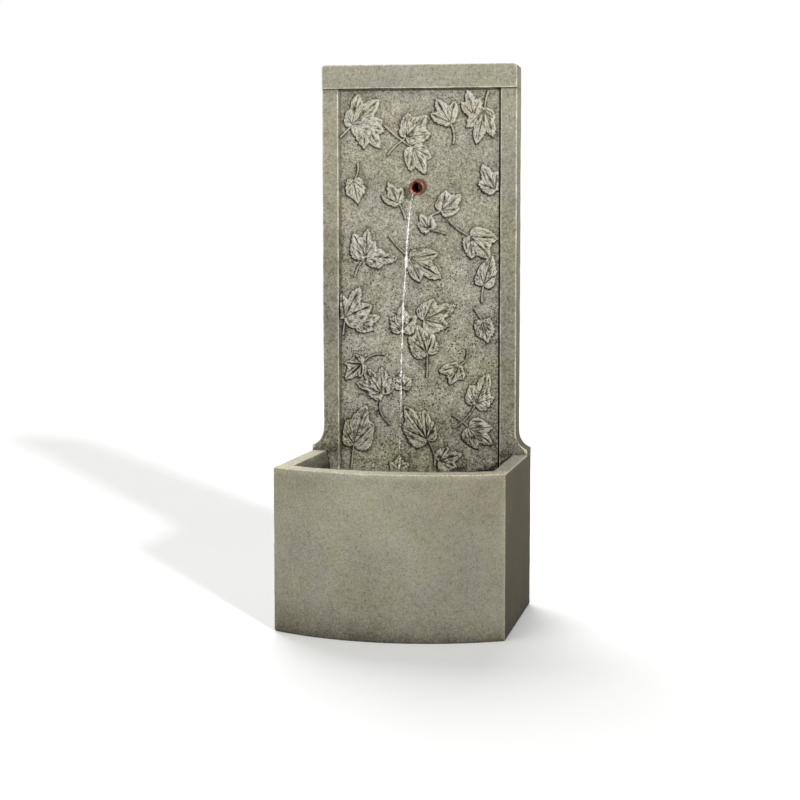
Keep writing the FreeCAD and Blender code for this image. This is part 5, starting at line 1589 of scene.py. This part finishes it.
def makeStream(values, material):
    line = fallLine(values)
    mesh = meshFrom("fallingWater", line, [], [(i, i + 1) for i in range(len(line) - 1)])
    given = {
        "Stream radius": values["radius"],
        "Beat": values["beat"],
        "Drops": values["dropCount"],
        "Drop spread": values["dropSpread"],
        "Seed": values["seed"],
    }
    made = growPiece("fallingWater", mesh, streamNodes(values, material), given)
    smooth(made.data)
    made.visible_shadow = False
    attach(made, "fountain")
    return line


def makePoolWater(look):
    constants = {"IOR": 1.33, "Specular_IOR_Level": 0.5, "Transmission_Weight": 0.93}
    made, shader, place = newMaterial("poolWater", **constants)
    colour = mixed(scaled(noise(place, 9, 3), 0.35, 0.65), look["pool"], look["murk"])
    roughness = scaled(noise(place, 30, 2), 0.3, 0.7, 0.02, 0.08)
    surface(shader, colour, roughness, noise(place, 42, 1), look["poolRelief"])
    return made


def poolEdge(values):
    # half the pool's width, and a function of X for its bowed front, from the basin's drafted walls
    share = (rimZ - values["surface"]) / (rimZ - basin["floor"])
    half = basin["half"] - basin["sideWall"] - basin["sideDraft"] * share + values["into"]
    radius = bowRadius(basin)
    start = basin["front"] + basin["frontWall"] + basin["frontDraft"] * share - values["into"]
    return half, lambda x: start + radius - np.sqrt(radius ** 2 - x ** 2)


def makePool(values, landing, material):
    # a closed sheet of water whose rings spread from where the stream lands
    half, frontOf = poolEdge(values)
    columns, rows = int(2 * half / values["cell"]) | 1, int(values["deep"] / values["cell"])
    across = np.linspace(-half, half, columns)
    front, back = frontOf(across), panel["face"] + values["behind"]
    x = np.tile(across, rows)
    y = (front + np.linspace(0, 1, rows)[:, None] * (back - front)).ravel()
    flat = np.column_stack((x, y, np.zeros(len(x))))
    away = np.hypot(x - landing[0], y - landing[1])
    rings = np.cos(away / values["length"] * 2 * math.pi) * np.exp(-away / 0.05) * np.clip(away / 0.008, 0, 1)
    crown = 1.8 * np.exp(-((away - 0.006) / 0.004) ** 2)
    height = values["surface"] + values["ripple"] * (rings + crown + 0.35 * waves(flat, 0.03, 41))
    top = np.column_stack((x, y, height))
    bottom = np.column_stack((x, y, np.full(len(x), values["foot"])))
    total = len(top)
    faces = []
    for k in (j * columns + i for j in range(rows - 1) for i in range(columns - 1)):
        faces.append((k, k + 1, k + columns + 1, k + columns))
        faces.append((total + k, total + k + columns, total + k + columns + 1, total + k + 1))
    loop = list(range(columns)) + [j * columns + columns - 1 for j in range(1, rows)]
    loop += list(range(total - 2, total - columns - 1, -1)) + [j * columns for j in range(rows - 2, 0, -1)]
    faces += [(near, total + near, total + far, far) for near, far in zip(loop, loop[1:] + loop[:1])]
    mesh = meshFrom("poolWater", np.vstack((top, bottom)), faces)
    facesOutwards(mesh)
    smooth(mesh, 60)
    mesh.materials.append(material)
    made = addObject("poolWater", mesh)
    made.visible_shadow = False
    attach(made, "fountain")


fall = makeStream(stream, makeStreamWater(waterLook))
makePool(pool, fall[-1], makePoolWater(waterLook))
print("water: falls to", [round(float(v), 3) for v in fall[-1]])


# Fittings, tube, pump and stoppers keep their solids and get real finishes

wear = {  # how far its lines are drawn out, lines per metre, and the clouds' detail
    "metal": (14.0, 160, 4),
    "plastic": (9.0, 70, 3),
    "hose": (5.0, 90, 3),
}


def makeWearGroup():
    # lines drawn out along an axis, as a brush, a lathe or handling leaves them, and clouds
    inputs = (("Place", "Vector"), ("Pull", "Vector"), ("Line scale", "Float"), ("Cloud scale", "Float"),
              ("Cloud detail", "Float"))
    tree, given = newTree("handledWear", "ShaderNodeTree", inputs, (("Lines", "Float"), ("Clouds", "Float")))
    pulled = fed("ShaderNodeVectorMath", {0: given["Place"], 1: given["Pull"]}, operation="MULTIPLY")
    clouds = noise(given["Place"], given["Cloud scale"], given["Cloud detail"])
    node(tree, "NodeGroupOutput", {"Lines": noise(pulled, given["Line scale"]), "Clouds": clouds})
    return tree


wearGroup = makeWearGroup()


def handled(place, kind, axis, cloudScale):
    # the group's lines along X (0), Y (1) or Z (2), and its clouds
    pull, lineScale, detail = wear[kind]
    factors = [pull] * 3
    factors[axis] = 1.0
    values = {"Place": place, "Pull": factors, "Line scale": lineScale, "Cloud scale": cloudScale,
              "Cloud detail": detail}
    made = node(place.id_data, "ShaderNodeGroup", values, node_tree=wearGroup).outputs
    return made["Lines"], made["Clouds"]


def machinedMetal(name, look):
    made, shader, place = newMaterial(name, Metallic=1.0)
    lines, stain = handled(place, "metal", look["along"], look["stainScale"])
    colour = mixed(scaled(lines, 0.35, 0.65), look["dark"], look["light"])
    colour = mixed(scaled(stain, 0.50, 0.68, 0.0, look["stain"]), colour, look["tarnish"])
    roughness = plus(scaled(lines, 0.3, 0.7, *look["roughness"]), scaled(stain, 0.5, 0.7, 0.0, 0.25))
    surface(shader, colour, roughness, plus(lines, times(stain, 0.6)), look["relief"])
    return made


metals = {
    "bronzeDark": {
        "dark": (0.085, 0.050, 0.032, 1), "light": (0.190, 0.115, 0.070, 1),
        "tarnish": (0.105, 0.150, 0.115, 1),
        "along": 0, "stain": 0.45, "stainScale": 150, "roughness": (0.38, 0.58), "relief": 0.0003,
        "on": ("spout_flange",),
    },
    "brassMachined": {
        "dark": (0.40, 0.27, 0.10, 1), "light": (0.62, 0.46, 0.20, 1), "tarnish": (0.16, 0.10, 0.045, 1),
        "along": 1, "stain": 0.8, "stainScale": 90, "roughness": (0.18, 0.34), "relief": 0.00008,
        "on": ("spout_locknut", "spout_elbow"),
    },
    "steelBrushed": {
        "dark": (0.42, 0.43, 0.44, 1), "light": (0.66, 0.67, 0.68, 1), "tarnish": (0.30, 0.27, 0.24, 1),
        "along": 2, "stain": 0.25, "stainScale": 120, "roughness": (0.20, 0.36), "relief": 0.00005,
        "on": ("lower_hose_clamp", "upper_hose_clamp", "clamp_screws"),
    },
}


def mouldedPlastic(name, look):
    made, shader, place = newMaterial(name, Specular_IOR_Level=look["shine"])
    lines, cloudy = handled(place, "plastic", 2, 45)
    colour = mixed(scaled(cloudy, 0.35, 0.65), look["dark"], look["light"])
    colour = mixed(times(scaled(lines, 0.60, 0.72), look["scuff"]), colour, look["worn"])
    roughness = scaled(cloudy, 0.3, 0.7, *look["roughness"])
    surface(shader, colour, roughness, cells(place, look["grainScale"], "SMOOTH_F1"), look["relief"])
    return made


plastics = {
    "rubberBlack": {
        "dark": (0.018, 0.018, 0.019, 1), "light": (0.040, 0.039, 0.038, 1), "worn": (0.10, 0.095, 0.085, 1),
        "scuff": 0.35, "grainScale": 700, "roughness": (0.68, 0.86), "shine": 0.25, "relief": 0.0002,
        "on": ("spout_washer", "pump_cord_gland", "rear_bush", "front_bush", "cover_seal_ring",
               "pump_suction_cups", "cord_stopper", "drain_stopper"),
    },
    "pumpCase": {
        "dark": (0.024, 0.029, 0.038, 1), "light": (0.040, 0.047, 0.058, 1), "worn": (0.12, 0.13, 0.14, 1),
        "scuff": 0.30, "grainScale": 900, "roughness": (0.42, 0.58), "shine": 0.45, "relief": 0.0002,
        "on": ("pump_housing", "pump_motor_cap", "volute_cover", "intake_strainer", "outlet_nozzle"),
    },
    "impellerWhite": {
        "dark": (0.66, 0.65, 0.59, 1), "light": (0.78, 0.77, 0.72, 1), "worn": (0.55, 0.53, 0.45, 1),
        "scuff": 0.25, "grainScale": 500, "roughness": (0.22, 0.36), "shine": 0.5, "relief": 0.0001,
        "on": ("impeller",),
    },
    "dialBlue": {
        "dark": (0.045, 0.14, 0.32, 1), "light": (0.070, 0.20, 0.42, 1), "worn": (0.20, 0.33, 0.50, 1),
        "scuff": 0.30, "grainScale": 600, "roughness": (0.28, 0.42), "shine": 0.5, "relief": 0.0001,
        "on": ("flow_dial",),
    },
    "ferriteBlack": {
        "dark": (0.050, 0.050, 0.052, 1), "light": (0.085, 0.085, 0.088, 1), "worn": (0.16, 0.16, 0.165, 1),
        "scuff": 0.45, "grainScale": 1500, "roughness": (0.45, 0.62), "shine": 0.6, "relief": 0.00008,
        "on": ("rotor_magnet",),
    },
    "ceramicWhite": {
        "dark": (0.78, 0.78, 0.75, 1), "light": (0.86, 0.86, 0.84, 1), "worn": (0.70, 0.69, 0.66, 1),
        "scuff": 0.20, "grainScale": 1800, "roughness": (0.12, 0.24), "shine": 0.6, "relief": 0.00003,
        "on": ("rotor_shaft",),
    },
}


def banded(place, axis, pitch):
    # 0 to 1 and back for each plate or turn of wire along an axis
    return calc("PINGPONG", calc("DIVIDE", axisOf(place, axis), pitch / 2), 1.0)


def makePlates(name, look):
    made, shader, place = newMaterial(name, Metallic=0.9)
    plates, rust = banded(place, 0, look["plate"]), noise(place, 160, 4)
    colour = mixed(scaled(plates, 0.05, 0.35), look["gap"], look["metal"])
    colour = mixed(scaled(rust, 0.56, 0.70, 0.0, 0.6), colour, look["rust"])
    roughness = scaled(rust, 0.3, 0.7, 0.35, 0.62)
    surface(shader, colour, roughness, scaled(plates, 0.0, 0.4), look["relief"])
    return made


def makeWinding(name, look):
    made, shader, place = newMaterial(name, Metallic=0.65)
    crossing = times(banded(place, 2, look["wire"] * 1.07), 0.7)
    layer = calc("MAXIMUM", banded(place, 0, look["wire"]), crossing)
    varnish = noise(place, 120, 3)
    colour = mixed(scaled(layer, 0.1, 0.7), look["shadow"], look["enamel"])
    colour = mixed(scaled(varnish, 0.5, 0.7, 0.0, 0.5), colour, look["varnish"])
    surface(shader, colour, scaled(varnish, 0.3, 0.7, 0.20, 0.40), layer, look["relief"])
    return made


def makeHose(name, look):
    made, shader, place = newMaterial(name, IOR=1.38, Transmission_Weight=0.72, Specular_IOR_Level=0.5)
    lines, milky = handled(place, "hose", 2, 35)
    colour = mixed(scaled(milky, 0.35, 0.65), look["clear"], look["milky"])
    lime = times(scaled(noise(place, 140, 4), 0.55, 0.68), 0.45)
    colour = mixed(lime, colour, look["lime"])
    surface(shader, colour, scaled(milky, 0.3, 0.7, 0.16, 0.34), lines, look["relief"])
    return made


plateLook = {
    "plate": 0.0010, "gap": (0.03, 0.03, 0.032, 1), "metal": (0.34, 0.34, 0.36, 1),
    "rust": (0.16, 0.085, 0.045, 1), "relief": 0.00012, "on": ("stator_core",),
}

windingLook = {
    "wire": 0.0009, "shadow": (0.16, 0.055, 0.022, 1), "enamel": (0.62, 0.29, 0.13, 1),
    "varnish": (0.33, 0.13, 0.05, 1), "relief": 0.0003, "on": ("stator_coil",),
}

hoseLook = {
    "clear": (0.86, 0.90, 0.89, 1), "milky": (0.78, 0.82, 0.80, 1), "lime": (0.62, 0.60, 0.48, 1),
    "relief": 0.0002, "on": ("supply_tube",),
}


def dressFittings(make, looks):
    for name, look in looks.items():
        material = make(name, look)
        for piece in look["on"]:
            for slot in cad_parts[piece].material_slots:
                slot.material = material


dressFittings(machinedMetal, metals)
dressFittings(mouldedPlastic, plastics)
dressFittings(makePlates, {"stackedPlates": plateLook})
dressFittings(makeWinding, {"enamelledWire": windingLook})
dressFittings(makeHose, {"clearHose": hoseLook})
print("fittings, tube and pump")
